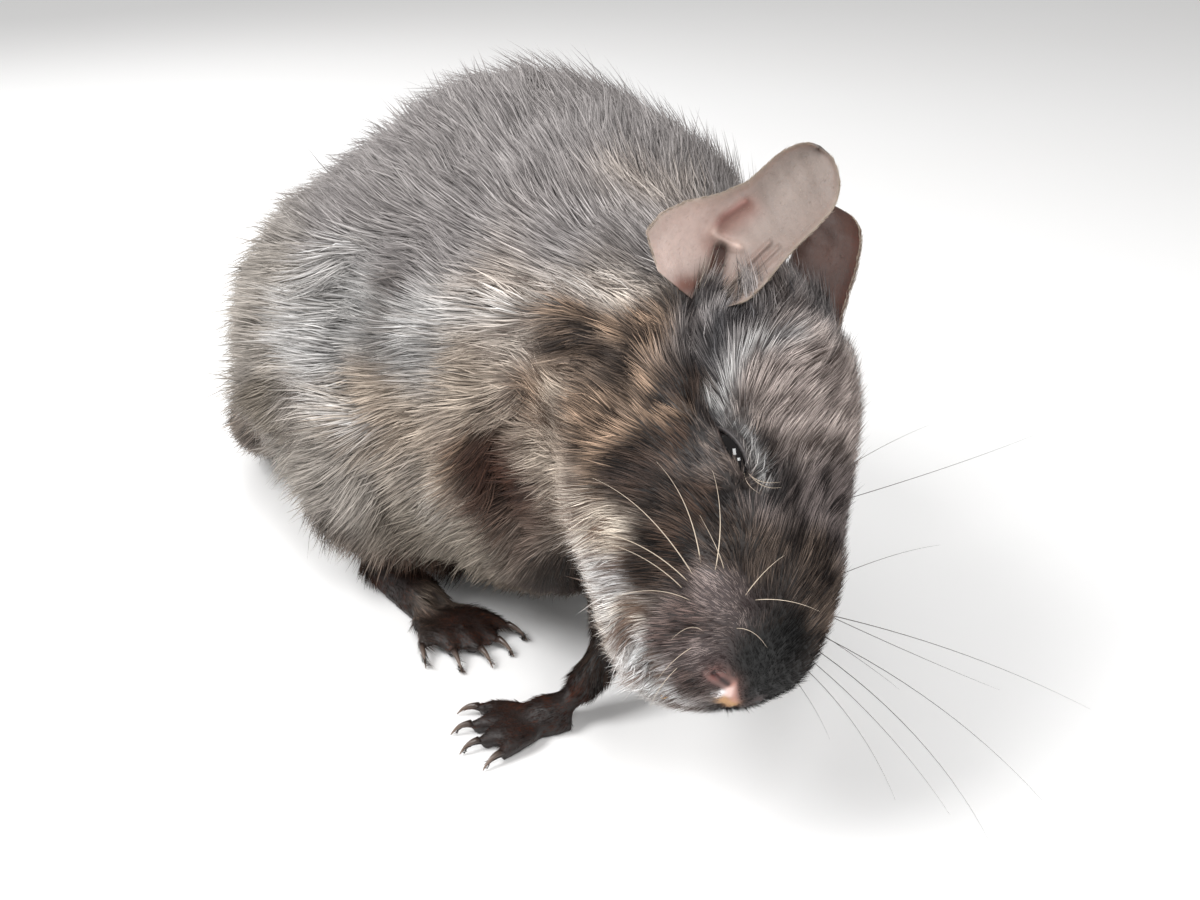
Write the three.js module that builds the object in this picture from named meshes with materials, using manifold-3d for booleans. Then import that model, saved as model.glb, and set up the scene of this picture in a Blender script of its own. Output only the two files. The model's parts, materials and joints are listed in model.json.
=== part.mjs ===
// A life-size degu: hunched on the floor, head bowed and turned to its right, tail laid in a
// curve behind it. Millimetres, +Z up. The animal faces -Y and its left side is +X.
// The outer surface is the outline of the coat, out to the tips of the hair.
import * as THREE from "three";
import { mergeVertices } from "three/addons/utils/BufferGeometryUtils.js";
import Module from "manifold-3d";

const wasm = await Module();
wasm.setup();

// Driving dimensions, measured before the whole animal is moved onto its origin.
const GAP = 0.3; // clear space between two nodes that touch
const TRUNK_LENGTH = 84; // rump to breast
const TRUNK_WIDTH = 66;
const TRUNK_MIDDLE = 40; // height of the middle of the trunk
const HEAD_LENGTH = 51; // nose to occiput, with the coat
const MUZZLE_TURN = 4; // how far the nose tip lies to the right of the skull's middle
const EAR_LENGTH = 22.5;
const EAR_WIDTH = 20;
const EAR_THICKNESS = 1.3;
const EYE_RADIUS = 3.7;
const LID_THICKNESS = 0.9;
const FORE_FOOT_LENGTH = 17;
const HIND_FOOT_LENGTH = 35;
const TAIL_ROOT_RADIUS = 4.6;
const TAIL_TIP_RADIUS = 2.2;
const BRUSH_LENGTH = 30;
const BRUSH_LOCKS = 20;

// Where the skull sits and which way it looks: nose down, forward and to the animal's right.
const HEAD_CENTRE = [-17.4, -63.1, 45.4];
const HEAD_NOSE = [-0.395, -0.479, -0.784];
const HEAD_LEFT = [0.817, 0.181, -0.524];

const COLOURS = {
  back: 0x6b6560,
  face: 0x57504a,
  foot: 0x2c2624,
  ear: 0x7d6f6b,
  eye: 0x0c0a0a,
  tooth: 0xd9902f,
  tail: 0x4a4441,
  brush: 0x1d1a1a,
};

const vec = (p) => new THREE.Vector3(...p);

// The closed triangle mesh of a geometry as a solid for joining and cutting.
function solidOf(geometry) {
  const bare = geometry.clone();
  bare.deleteAttribute("normal");
  bare.deleteAttribute("uv");
  const merged = mergeVertices(bare, 1e-4);
  return new wasm.Manifold(
    new wasm.Mesh({
      numProp: 3,
      vertProperties: merged.getAttribute("position").array,
      triVerts: new Uint32Array(merged.index.array),
    }),
  );
}

// The one piece of a solid that holds the most, with any sealed hollow filled.
function largest(solid) {
  const pieces = solid.decompose();
  return pieces.reduce((a, b) => (b.volume() > a.volume() ? b : a));
}

function geometryOf(solid) {
  const mesh = solid.getMesh();
  const geometry = new THREE.BufferGeometry();
  geometry.setAttribute("position", new THREE.BufferAttribute(mesh.vertProperties, 3));
  geometry.setIndex(new THREE.BufferAttribute(mesh.triVerts, 1));
  geometry.computeVertexNormals();
  return geometry;
}

const union = (solids) => solids.reduce((a, b) => a.add(b));

// A plain ellipsoid, used as an eyeball, a socket or the bound of a limb.
function ellipsoid(centre, radii, frame = null, sides = 24) {
  const geometry = new THREE.SphereGeometry(1, sides, sides / 2);
  geometry.scale(...radii);
  geometry.translate(...centre);
  if (frame) geometry.applyMatrix4(frame);
  return solidOf(geometry);
}

// A box between two corners, used to cut.
function block(low, high, frame = null) {
  const size = high.map((v, i) => v - low[i]);
  const geometry = new THREE.BoxGeometry(...size);
  geometry.translate(...low.map((v, i) => v + size[i] / 2));
  if (frame) geometry.applyMatrix4(frame);
  return solidOf(geometry);
}

// One rounded mass of the body: an ellipsoid that melts into what came before it over `blend`.
function mass(centre, radii, blend = 5, turn = [0, 0, 0], frame = null) {
  const matrix = new THREE.Matrix4().makeRotationFromEuler(
    new THREE.Euler(...turn.map((degrees) => THREE.MathUtils.degToRad(degrees))),
  );
  matrix.setPosition(vec(centre));
  if (frame) matrix.premultiply(frame);
  return { inverse: matrix.invert().elements, radii, blend };
}

function massDistance({ inverse: m, radii }, x, y, z) {
  const px = (m[0] * x + m[4] * y + m[8] * z + m[12]) / radii[0];
  const py = (m[1] * x + m[5] * y + m[9] * z + m[13]) / radii[1];
  const pz = (m[2] * x + m[6] * y + m[10] * z + m[14]) / radii[2];
  const scaled = Math.hypot(px, py, pz);
  const slope = Math.hypot(px / radii[0], py / radii[1], pz / radii[2]);
  return slope === 0 ? -Math.min(...radii) : (scaled * (scaled - 1)) / slope;
}

// Distance to the melted union of all masses, below zero inside.
function bodyDistance(masses, x, y, z) {
  let distance = massDistance(masses[0], x, y, z);
  for (const one of masses.slice(1)) {
    const own = massDistance(one, x, y, z);
    const share = Math.max(one.blend - Math.abs(distance - own), 0) / one.blend;
    distance = Math.min(distance, own) - (share * share * one.blend) / 4;
  }
  return distance;
}

// A closed skin grown outwards from an inner point until it is `clear` outside the masses.
function grown(masses, centre, stretch, detail, clear = 0, frame = null) {
  const REACH = 90;
  const STEP = 0.8;
  const HALVINGS = 14;
  const geometry = new THREE.IcosahedronGeometry(1, detail);
  geometry.scale(...stretch);
  if (frame) geometry.applyMatrix4(new THREE.Matrix4().extractRotation(frame));
  const position = geometry.getAttribute("position");
  const way = new THREE.Vector3();
  for (let i = 0; i < position.count; i += 1) {
    way.fromBufferAttribute(position, i).normalize();
    const inside = (reach) =>
      bodyDistance(
        masses,
        centre[0] + way.x * reach,
        centre[1] + way.y * reach,
        centre[2] + way.z * reach,
      ) < clear;
    let low = 0;
    while (low < REACH && inside(low + STEP)) low += STEP;
    let high = low + STEP;
    for (let k = 0; k < HALVINGS; k += 1) {
      const middle = (low + high) / 2;
      if (inside(middle)) low = middle;
      else high = middle;
    }
    way.multiplyScalar(low).add(vec(centre));
    position.setXYZ(i, way.x, way.y, way.z);
  }
  return solidOf(geometry);
}

// A round limb along a smooth line through `points`, with the radius at each and rounded ends.
function limb(points, radii, sides = 10, steps = 12, squash = 1) {
  const curve = new THREE.CatmullRomCurve3(points.map(vec));
  const FRAMES = 40;
  const { normals, binormals } = curve.computeFrenetFrames(FRAMES);
  const length = curve.getLength();
  const geometry = new THREE.SphereGeometry(1, sides, steps);
  const position = geometry.getAttribute("position");
  const last = radii.length - 1;
  const radiusAt = (t) => {
    const place = Math.min(t * last, last - 1e-6);
    const low = Math.floor(place);
    return THREE.MathUtils.lerp(radii[low], radii[low + 1], place - low);
  };
  const rounding = (run, radius) => {
    const share = Math.min(run / radius, 1);
    return Math.sqrt(share * (2 - share));
  };
  for (let i = 0; i < position.count; i += 1) {
    const [x, y, z] = [position.getX(i), position.getY(i), position.getZ(i)];
    const t = Math.min(Math.max((1 - y) / 2, 0), 1);
    const frame = Math.round(t * FRAMES);
    const flat = Math.hypot(x, z);
    const radius =
      radiusAt(t) * rounding(t * length, radii[0]) * rounding((1 - t) * length, radii[last]);
    const scale = flat > 1e-6 ? radius / flat : 0;
    const point = curve
      .getPointAt(t)
      .addScaledVector(normals[frame], z * scale)
      .addScaledVector(binormals[frame], x * scale * squash);
    position.setXYZ(i, point.x, point.y, point.z);
  }
  const solid = solidOf(geometry);
  return solid.volume() < 0 ? solidOf(turnedOut(geometry)) : solid;
}

// The same surface with its faces turned round.
function turnedOut(geometry) {
  const index = geometry.index;
  for (let i = 0; i < index.count; i += 3) {
    const second = index.getX(i + 1);
    index.setX(i + 1, index.getX(i + 2));
    index.setX(i + 2, second);
  }
  return geometry;
}

// A frame whose -y looks along `forward` and whose z is as near `up` as it can be.
function frameAt(origin, forward, up) {
  const ahead = vec(forward).normalize();
  const side = new THREE.Vector3().crossVectors(vec(up), ahead).normalize();
  const top = new THREE.Vector3().crossVectors(ahead, side);
  return new THREE.Matrix4().makeBasis(side, ahead.negate(), top).setPosition(vec(origin));
}

// The skull's own frame: x to the animal's left, -y to the nose, z to the crown.
function headFrame() {
  const forward = vec(HEAD_NOSE).normalize();
  const left = vec(HEAD_LEFT);
  left.addScaledVector(forward, -left.dot(forward)).normalize();
  const crown = new THREE.Vector3().crossVectors(forward, left);
  const frame = new THREE.Matrix4().makeBasis(left, forward.clone().negate(), crown);
  return frame.setPosition(vec(HEAD_CENTRE));
}
const HEAD = headFrame();
const H = HEAD_LENGTH / 51;
const fromHead = (p) => vec(p).multiplyScalar(H).applyMatrix4(HEAD).toArray();
const headMass = (centre, radii, blend, turn) =>
  mass(centre.map((v) => v * H), radii.map((v) => v * H), blend, turn, HEAD);

const L = TRUNK_LENGTH / 2;
const W = TRUNK_WIDTH / 2;

const TRUNK = [
  mass([-2, 10, TRUNK_MIDDLE - 6], [W - 3, L - 8, 29.5]),
  mass([2, -10, TRUNK_MIDDLE + 11], [W - 6, L - 14, 27.5], 14),
  mass([-2, -24, TRUNK_MIDDLE + 2], [W - 7, 24, 28], 12),
  mass([-2, -12, 21], [W - 11, 28, 17], 10),
  mass([-21, 2, 29], [13, 18.5, 20], 5),
  mass([20, 8, 25], [13, 20, 20], 7),
  mass([-16, -30, 32], [10, 13, 18], 8),
  mass([14, -28, 30], [11, 13, 18], 8),
];
const NECK = [
  mass([-5, -34, 53], [23, 17, 22], 10),
  mass([-12, -47, 48], [19, 14, 21], 10),
];
const SKULL = [
  headMass([0, 7, 1], [15, 16, 13.5], 8),
  headMass([0, 0, 3], [12.5, 18, 10], 8),
  headMass([-9, -3, -5], [8.5, 14, 11], 7),
  headMass([9, -3, -5], [8.5, 14, 11], 7),
  headMass([-MUZZLE_TURN * 0.4, -13, 1.5], [9.5, 15, 9], 8),
  headMass([-MUZZLE_TURN * 0.7, -19.4, -3], [8, 10.2, 8], 7),
  headMass([-MUZZLE_TURN * 0.4, -13.6, -8.6], [8, 14.6, 7.2], 6),
  headMass([0, 2, -10], [12, 14, 9], 6),
  headMass([-4.5 - MUZZLE_TURN * 0.8, -22.8, -3], [4.6, 5.5, 4.6], 3),
  headMass([6.4 - MUZZLE_TURN * 0.8, -23, -2.6], [5.2, 5.5, 5.2], 3),
  headMass([-9, -4, 7], [3.5, 6, 3], 3),
  headMass([9, -4, 7], [3.5, 6, 3], 3),
];
const BODY = [...TRUNK, ...NECK, ...SKULL];

const TRUNK_SEED = [0, -2, TRUNK_MIDDLE];
const NECK_SEED = [-9, -42, 50];
const HEAD_SEED = fromHead([0, -3, -1]);

// How finely each skin is divided, and how its facets are stretched to follow the form.
const TRUNK_DETAIL = 8;
const TRUNK_STRETCH = [1, 1.1, 1];
const NECK_DETAIL = 6;
const HEAD_DETAIL = 11;
const HEAD_STRETCH = [1, 1.3, 1];

const FAR = 80; // as far as a cut needs to reach
const BOUND_SIDES = 20;
// The bound of the head: a rounded space in the skull's frame, cut off flat behind the ears.
const HEAD_BACK = 13;
const headSpace = (gap) =>
  ellipsoid([0, -8, -1], [25 + gap, 29 + gap, 20.5 + gap], HEAD, BOUND_SIDES)
    .intersect(block([-FAR, -FAR, -FAR], [FAR, HEAD_BACK + gap, FAR], HEAD));

const NECK_CUT = frameAt([-4, -37, 50], [-0.2, -0.92, 0.33], [0, 0, 1]);
const aheadOfNeck = (gap) => block([-FAR, -FAR, -FAR], [FAR, gap, FAR], NECK_CUT);

const THIGHS = {
  right: { centre: [-22, 4, 25], radii: [14, 20, 21] },
  left: { centre: [22, 9, 23], radii: [14, 21, 20] },
};
const SHOULDERS = {
  right: { centre: [-16, -32, 28], radii: [11, 12, 16] },
  left: { centre: [15, -30, 27], radii: [11, 12, 16] },
};
const bound = ({ centre, radii }, gap) =>
  ellipsoid(centre, radii.map((v) => v + gap), null, BOUND_SIDES);
const below = block([-FAR * 2, -FAR * 2, -FAR], [FAR * 2, FAR * 3, 0]);

const whole = grown(BODY, TRUNK_SEED, TRUNK_STRETCH, TRUNK_DETAIL);
const outside = grown(BODY, TRUNK_SEED, TRUNK_STRETCH, TRUNK_DETAIL, GAP);

const limbBounds = [THIGHS.right, THIGHS.left, SHOULDERS.right, SHOULDERS.left];
const torso = [headSpace(GAP), aheadOfNeck(GAP), ...limbBounds.map((b) => bound(b, GAP))]
  .reduce((body, cutter) => body.subtract(cutter), whole)
  .subtract(below);
const neck = grown(BODY, NECK_SEED, [1, 1, 1], NECK_DETAIL)
  .intersect(aheadOfNeck(0))
  .subtract(headSpace(GAP))
  .subtract(bound(SHOULDERS.right, GAP))
  .subtract(bound(SHOULDERS.left, GAP));
const headMassed = grown(BODY, HEAD_SEED, HEAD_STRETCH, HEAD_DETAIL, 0, HEAD).intersect(headSpace(0));

// A foot in its own frame: ankle at the origin, toes along -y, sole on z = 0.
function foot({ length, width, height, toes, toeLength, toeRadius, claw }) {
  const palm = length - toeLength - claw;
  const pieces = [
    limb(
      [[0, 1, height * 0.75], [0, -palm * 0.45, height * 0.65], [0, -palm, height * 0.6]],
      [width * 0.34, width * 0.36, width * 0.44],
      9,
      7,
    ),
  ];
  for (const [side, reach] of toes) {
    const x = side * width * 0.42;
    const spread = side * width * 0.28;
    const tip = palm + toeLength * reach;
    pieces.push(
      limb(
        [
          [x * 0.8, -palm * 0.8, toeRadius * 1.2],
          [x + spread * 0.4, -(palm + tip) / 2, toeRadius * 1.5],
          [x + spread, -tip, toeRadius * 0.8],
        ],
        [toeRadius * 1.1, toeRadius, toeRadius * 0.9],
        6,
        5,
      ),
      limb(
        [
          [x + spread * 0.9, -tip + 0.6, toeRadius * 1.1],
          [x + spread * 1.2, -tip - claw * 0.5, toeRadius * 1.1],
          [x + spread * 1.4, -tip - claw, 0.35],
        ],
        [0.75, 0.6, 0.25],
        5,
        4,
      ),
    );
  }
  return union(pieces);
}
const HIND_TOES = [[-1.15, 0.35], [-0.7, 0.8], [-0.15, 1], [0.4, 0.95], [0.95, 0.7]];
const FORE_TOES = [[-1, 0.7], [-0.35, 1], [0.35, 1], [1, 0.7]];
const hindFoot = foot({
  length: HIND_FOOT_LENGTH,
  width: 9,
  height: 4,
  toes: HIND_TOES,
  toeLength: 9,
  toeRadius: 1.5,
  claw: 3,
});
const foreFoot = foot({
  length: FORE_FOOT_LENGTH,
  width: 8,
  height: 3,
  toes: FORE_TOES,
  toeLength: 6.5,
  toeRadius: 1.25,
  claw: 2.6,
});

// Where each foot stands: the ankle, and the way its toes point.
const place = (solid, frame) => solid.transform(frame.elements);
const forePaws = {
  right: frameAt([-22.5, -44, 0], [-0.88, 0.42, 0], [0, 0, 1]),
  left: frameAt([9, -38, 0], [-0.1, -1, 0], [0, 0, 1]),
};
const hindPaws = {
  right: frameAt([-18, 8, 0], [-0.1, -1, 0], [0, 0, 1]),
  left: frameAt([16, 12, 0], [0.12, -1, 0], [0, 0, 1]),
};
const foreArms = {
  right: limb(
    [[-13, -37, 30], [-14, -42, 17], [-18.5, -45, 9], [-24, -43, 3.2]],
    [9, 5.4, 2.7, 2.5],
    10,
    10,
  ),
  left: limb(
    [[14, -31, 30], [13, -34, 16], [10, -37, 8], [9, -40, 3.2]],
    [9, 5.6, 2.8, 2.5],
    10,
    10,
  ),
};

const WRIST = -1.5; // where a forefoot begins, ahead of its ankle
const WRIST_TOP = 9; // the height up to which that cut reaches
const restOfBody = (side, limbs) => outside.subtract(bound(limbs[side], 0));
const legs = {};
for (const side of ["right", "left"]) {
  const paw = place(foreFoot, forePaws[side]).subtract(below);
  const arm = foreArms[side]
    .add(whole.intersect(bound(SHOULDERS[side], 0)))
    .subtract(restOfBody(side, SHOULDERS))
    .subtract(below);
  const aheadOfWrist = (gap) =>
    block([-FAR, -FAR, -FAR], [FAR, WRIST + gap, WRIST_TOP], forePaws[side]);
  legs[`foreleg_${side}`] = arm.subtract(aheadOfWrist(GAP)).subtract(headSpace(GAP));
  legs[`forefoot_${side}`] = paw.intersect(aheadOfWrist(0)).subtract(outside);
  legs[`thigh_${side}`] = whole.intersect(bound(THIGHS[side], 0));
}
for (const side of ["right", "left"]) {
  const shank = place(limb([[0, 3, 17], [0, 2, 3.4]], [6, 3.2], 10, 8), hindPaws[side]);
  legs[`hindfoot_${side}`] = place(hindFoot, hindPaws[side])
    .add(shank)
    .subtract(below)
    .subtract(outside);
}

// The tail leaves the rump to the right, bends back and lies on the floor in a wide curve.
const FLAT = 0.2; // how much of a round part the floor flattens
const TAIL_LINE = [
  [-14, 34, 20],
  [-13, 41, 15.5],
  [-8, 50, 9],
  [0, 59, 4.8],
  [12, 69, 3.6 - FLAT],
  [28, 80, 3.2 - FLAT],
  [47, 90, 2.8 - FLAT],
  [68, 96, TAIL_TIP_RADIUS - FLAT],
];
const TAIL_RADII = [
  TAIL_ROOT_RADIUS + 1.6,
  TAIL_ROOT_RADIUS + 1.2,
  TAIL_ROOT_RADIUS + 0.4,
  4.4,
  3.7,
  3.2,
  2.8,
  TAIL_TIP_RADIUS,
];
// The furred swelling on the rump that the tail grows from.
const TAIL_SWELLING = limb(
  [[-1, 30, 22], [-10, 33.4, 20.4], [-18, 36.5, 18.6]],
  [8.4, 8.2, 7.2],
  12,
  10,
);
const tailCurve = new THREE.CatmullRomCurve3(TAIL_LINE.map(vec));
const tailFrame = (t) =>
  frameAt(tailCurve.getPointAt(t).toArray(), tailCurve.getTangentAt(t).toArray(), [0, 0, 1]);
const CUT = 20; // how far a cut across the tail reaches sideways
const tailBeyond = (t, gap) => block([-CUT, -CUT * 6, -CUT], [CUT, gap, CUT], tailFrame(t));

// One lock of the brush: a flat tapered blade from its root to its tip.
function lock(root, tip, width, thickness) {
  const geometry = new THREE.SphereGeometry(1, 6, 4);
  const span = vec(tip).sub(vec(root));
  const frame = frameAt(root, span.toArray(), [0, 0, 1]);
  const position = geometry.getAttribute("position");
  for (let i = 0; i < position.count; i += 1) {
    const t = (1 - position.getY(i)) / 2;
    const taper = 1 - t * t * 0.85;
    position.setXYZ(
      i,
      position.getX(i) * width * taper,
      -t * span.length(),
      position.getZ(i) * thickness * taper,
    );
  }
  geometry.applyMatrix4(frame);
  const solid = solidOf(geometry);
  return solid.volume() < 0 ? solidOf(turnedOut(geometry)) : solid;
}

function seeded(seed) {
  let state = seed;
  return () => {
    state = (state * 1664525 + 1013904223) % 4294967296;
    return state / 4294967296;
  };
}

// Locks in rings round the end of the tail, each lying backwards along it.
function brush() {
  const random = seeded(7);
  const start = 1 - BRUSH_LENGTH / tailCurve.getLength();
  return Array.from({ length: BRUSH_LOCKS }, (_, i) => {
    const t = start + (1 - start) * 0.97 * (i / (BRUSH_LOCKS - 1));
    const turn = i * 2.4 + random() * 0.5;
    const frame = tailFrame(t);
    const out = 4.4 + random() * 1.2;
    const reach = 9 + random() * 3;
    const at = (side, back) =>
      vec([Math.cos(turn) * side, -back, Math.sin(turn) * side]).applyMatrix4(frame).toArray();
    return lock(at(0.8, 0), at(out, reach), 1.5, 0.8);
  });
}
const tailWhole = limb(TAIL_LINE, TAIL_RADII, 10, 32);
const ROOT_ENDS = 0.3; // shares of the tail's length at which one part ends and the next begins
const MIDDLE_ENDS = 0.67;
const tail = {
  tail_root: tailWhole.subtract(tailBeyond(ROOT_ENDS, GAP)).add(TAIL_SWELLING).subtract(outside),
  tail_middle: tailWhole.intersect(tailBeyond(ROOT_ENDS, 0)).subtract(tailBeyond(MIDDLE_ENDS, GAP)),
  tail_end: union([tailWhole.intersect(tailBeyond(MIDDLE_ENDS, 0)), ...brush()]),
};

// The face, in the skull's frame: eyes under half-closed lids, nostrils, mouth and incisors.
const EYES = {
  right: [-11, -4.8, 4.9],
  left: [11, -4.8, 4.9],
};
const SLIT = { half: 3.2, gape: 0.85, depth: 4.5, tilt: 28 };
const eyes = {};
let head = headMassed;
for (const [side, centre] of Object.entries(EYES)) {
  const out = Math.sign(centre[0]);
  const sphere = (radius, sides) => ellipsoid(centre, [radius, radius, radius], HEAD, sides);
  const slitFrame = new THREE.Matrix4()
    .makeRotationX(THREE.MathUtils.degToRad(-SLIT.tilt))
    .setPosition(centre[0] + out * EYE_RADIUS * 0.9, centre[1], centre[2] + 1.6)
    .premultiply(HEAD);
  const slit = ellipsoid([0, 0, 0], [SLIT.depth, SLIT.half, SLIT.gape], slitFrame, 12);
  head = head
    .add(sphere(EYE_RADIUS + GAP + LID_THICKNESS, 18))
    .subtract(sphere(EYE_RADIUS + GAP, 14))
    .subtract(slit);
  eyes[`eye_${side}`] = sphere(EYE_RADIUS, 14);
}

const NOSTRIL = { out: 1.6, y: -29, z: 0.6, radii: [0.8, 2.2, 1.1] };
for (const out of [-NOSTRIL.out, NOSTRIL.out]) {
  const centre = [out - MUZZLE_TURN, NOSTRIL.y, NOSTRIL.z];
  head = head.subtract(ellipsoid(centre, NOSTRIL.radii, HEAD, 8));
}
const MOUTH = {
  centre: [-MUZZLE_TURN * 0.8, -19.7, -6.6],
  radii: [9.5, 10.5, 0.45],
  core: [5.8, 7.4, 3],
};
const mouthLine = ellipsoid(MOUTH.centre, MOUTH.radii, HEAD, 24)
  .subtract(ellipsoid(MOUTH.centre, MOUTH.core, HEAD, 16));
const TOOTH = { half: 0.6, from: 0.55, front: -28.6, back: -27, edge: -8, gum: -4 };
const toothPair = (gap) =>
  union(
    [-TOOTH.from, TOOTH.from].map((middle) =>
      block(
        [middle - MUZZLE_TURN - TOOTH.half - gap, TOOTH.front - gap, TOOTH.edge - gap],
        [middle - MUZZLE_TURN + TOOTH.half + gap, TOOTH.back + gap, TOOTH.gum + gap],
        HEAD,
      ),
    ),
  );
head = head.subtract(mouthLine).subtract(toothPair(GAP));
const incisors = toothPair(0);

// An ear as a cupped leaf: a wide lobe behind, a fuller front rim, hollow towards `opening`.
const EAR_BACK = [0.36, 0.5, 0.5, 0.44, 0.33, 0.26, 0.24, 0.22, 0.2];
const EAR_FRONT = [0.13, 0.16, 0.17, 0.18, 0.2, 0.23, 0.25, 0.25, 0.24];
const EAR_ROUND = 0.74; // from here the tip rounds off
function along(values, t) {
  const place = Math.min(t, 1 - 1e-6) * (values.length - 1);
  const low = Math.floor(place);
  return THREE.MathUtils.lerp(values[low], values[low + 1], place - low);
}
function ear({ base, tip, opening, out, cup, lean }) {
  const frame = frameAt([0, 0, 0], opening, tip).setPosition(vec(base)).premultiply(HEAD);
  const geometry = new THREE.SphereGeometry(1, 16, 14);
  const position = geometry.getAttribute("position");
  for (let i = 0; i < position.count; i += 1) {
    const up = (position.getY(i) + 1) / 2;
    const ring = Math.hypot(position.getX(i), position.getZ(i));
    const across = ring > 1e-6 ? position.getX(i) / ring : 0;
    const through = ring > 1e-6 ? position.getZ(i) / ring : 0;
    const thickness = EAR_THICKNESS * Math.min(1, 0.45 + ring);
    const rounding = Math.max(up - EAR_ROUND, 0) / (1 - EAR_ROUND);
    const half = along(across * out > 0 ? EAR_FRONT : EAR_BACK, up) * Math.sqrt(1 - rounding ** 2);
    const x = across * half * EAR_WIDTH;
    const depth = cup * across * across * Math.sqrt(1 - up * 0.8) - lean * up * up;
    position.setXYZ(i, x, (through * thickness) / 2 - depth, up * EAR_LENGTH);
  }
  geometry.applyMatrix4(frame);
  const solid = solidOf(geometry);
  return solid.volume() < 0 ? solidOf(turnedOut(geometry)) : solid;
}
const headClear = grown(BODY, HEAD_SEED, HEAD_STRETCH, HEAD_DETAIL, GAP, HEAD);
const ears = {
  ear_right: ear({
    base: [-12.5, 11.6, 4.2],
    tip: [-1.5, 14.3, 12.8],
    opening: [-0.87, -0.23, 0.43],
    out: 1,
    cup: 3,
    lean: 1.5,
  }).subtract(headClear),
  ear_left: ear({
    base: [10.5, 10, 5],
    tip: [3.6, 18.3, 5],
    opening: [0.95, -0.25, 0.15],
    out: -1,
    cup: 3,
    lean: 1.5,
  }).subtract(headClear),
};

const pieces = {
  torso: [torso, COLOURS.back],
  neck: [neck, COLOURS.back],
  head: [head, COLOURS.face],
  incisors: [incisors, COLOURS.tooth],
};
for (const [name, solid] of Object.entries(legs)) pieces[name] = [solid, COLOURS.foot];
for (const [name, solid] of Object.entries(tail)) {
  pieces[name] = [solid.subtract(below), name === "tail_end" ? COLOURS.brush : COLOURS.tail];
}
for (const [name, solid] of Object.entries(eyes)) pieces[name] = [solid, COLOURS.eye];
for (const [name, solid] of Object.entries(ears)) pieces[name] = [solid, COLOURS.ear];

const degu = new THREE.Group();
const box = new THREE.Box3();
for (const [name, [solid, colour]] of Object.entries(pieces)) {
  const material = new THREE.MeshStandardMaterial({ color: colour, roughness: 0.9, metalness: 0 });
  const mesh = new THREE.Mesh(geometryOf(largest(solid)), material);
  mesh.name = name;
  degu.add(mesh);
  box.expandByObject(mesh);
}
// The origin is under the middle of the whole animal, on the floor.
degu.position.set(-(box.min.x + box.max.x) / 2, -(box.min.y + box.max.y) / 2, -box.min.z);
export default degu;
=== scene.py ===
"""A life-size degu: one skin, its coat, ears, eyes, teeth, claws, whiskers and tail brush.

Lengths inside the classes are millimetres in the animal's own measure: it faces -Y, its left side
is +X and the floor is z = 0. `Place` turns them into the frame's metres. Places on the head are
given in the skull's own frame, see `Skull`.
"""
import json
import logging
import math
from contextlib import contextmanager
from dataclasses import dataclass, field
from enum import Enum
from typing import Iterable, Iterator, Optional, Sequence

import bpy
import numpy as np
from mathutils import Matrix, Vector
from mathutils.kdtree import KDTree

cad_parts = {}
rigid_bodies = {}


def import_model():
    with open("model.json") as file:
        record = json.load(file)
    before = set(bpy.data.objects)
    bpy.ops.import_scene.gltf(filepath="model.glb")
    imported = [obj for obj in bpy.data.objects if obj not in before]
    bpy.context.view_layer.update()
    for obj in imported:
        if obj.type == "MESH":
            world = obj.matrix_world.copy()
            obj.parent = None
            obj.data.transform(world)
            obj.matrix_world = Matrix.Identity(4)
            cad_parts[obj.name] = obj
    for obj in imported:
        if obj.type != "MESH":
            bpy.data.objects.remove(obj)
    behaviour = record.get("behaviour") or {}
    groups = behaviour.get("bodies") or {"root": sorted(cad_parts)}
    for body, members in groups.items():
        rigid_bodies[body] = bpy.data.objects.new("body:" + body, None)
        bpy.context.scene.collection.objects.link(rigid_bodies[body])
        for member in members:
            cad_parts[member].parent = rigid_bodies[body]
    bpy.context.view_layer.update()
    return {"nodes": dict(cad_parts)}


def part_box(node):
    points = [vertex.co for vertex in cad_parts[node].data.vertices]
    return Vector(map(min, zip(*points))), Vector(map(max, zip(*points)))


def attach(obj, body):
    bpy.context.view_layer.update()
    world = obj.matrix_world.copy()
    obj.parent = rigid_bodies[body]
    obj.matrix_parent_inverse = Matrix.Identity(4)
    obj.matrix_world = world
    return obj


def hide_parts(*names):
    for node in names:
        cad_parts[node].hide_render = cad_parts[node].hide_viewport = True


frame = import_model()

log = logging.getLogger("degu")

Array = np.ndarray
Point = tuple[float, float, float]
MM = 0.001
SEED = 20
# How wide one tuft's patch of the OFBake map is, of the map's side.
PATCH = 0.003
# What the coat's colours are multiplied by, to suit the studio's light.
COAT_GAIN = 0.91
# Corners closer than this, in metres, are one corner.
SAME = 1e-6


# Colour


def linear(red: float, green: float, blue: float) -> Array:
    """Turns a colour given in display values from 0 to 255 into linear light.

    Args:
        red: the red value.
        green: the green value.
        blue: the blue value.

    Returns:
        The three values from 0 to 1.
    """
    value = np.array([red, green, blue], float) / 255.0
    return np.where(value <= 0.04045, value / 12.92, ((value + 0.055) / 1.055) ** 2.4)


@dataclass(frozen=True)
class Tint:
    """One colour of the coat.

    The hair is grizzled: each tuft is somewhere between `dark` and `light`. A `bias` above 1
    makes dark tufts more common.
    """

    dark: Point
    light: Point
    bias: float = 1.0

    def row(self) -> Array:
        """Returns the two colours in linear light and the bias, as one row of numbers."""
        ends = np.concatenate([linear(*self.dark), linear(*self.light)]) * COAT_GAIN
        return np.append(ends, self.bias)


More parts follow.
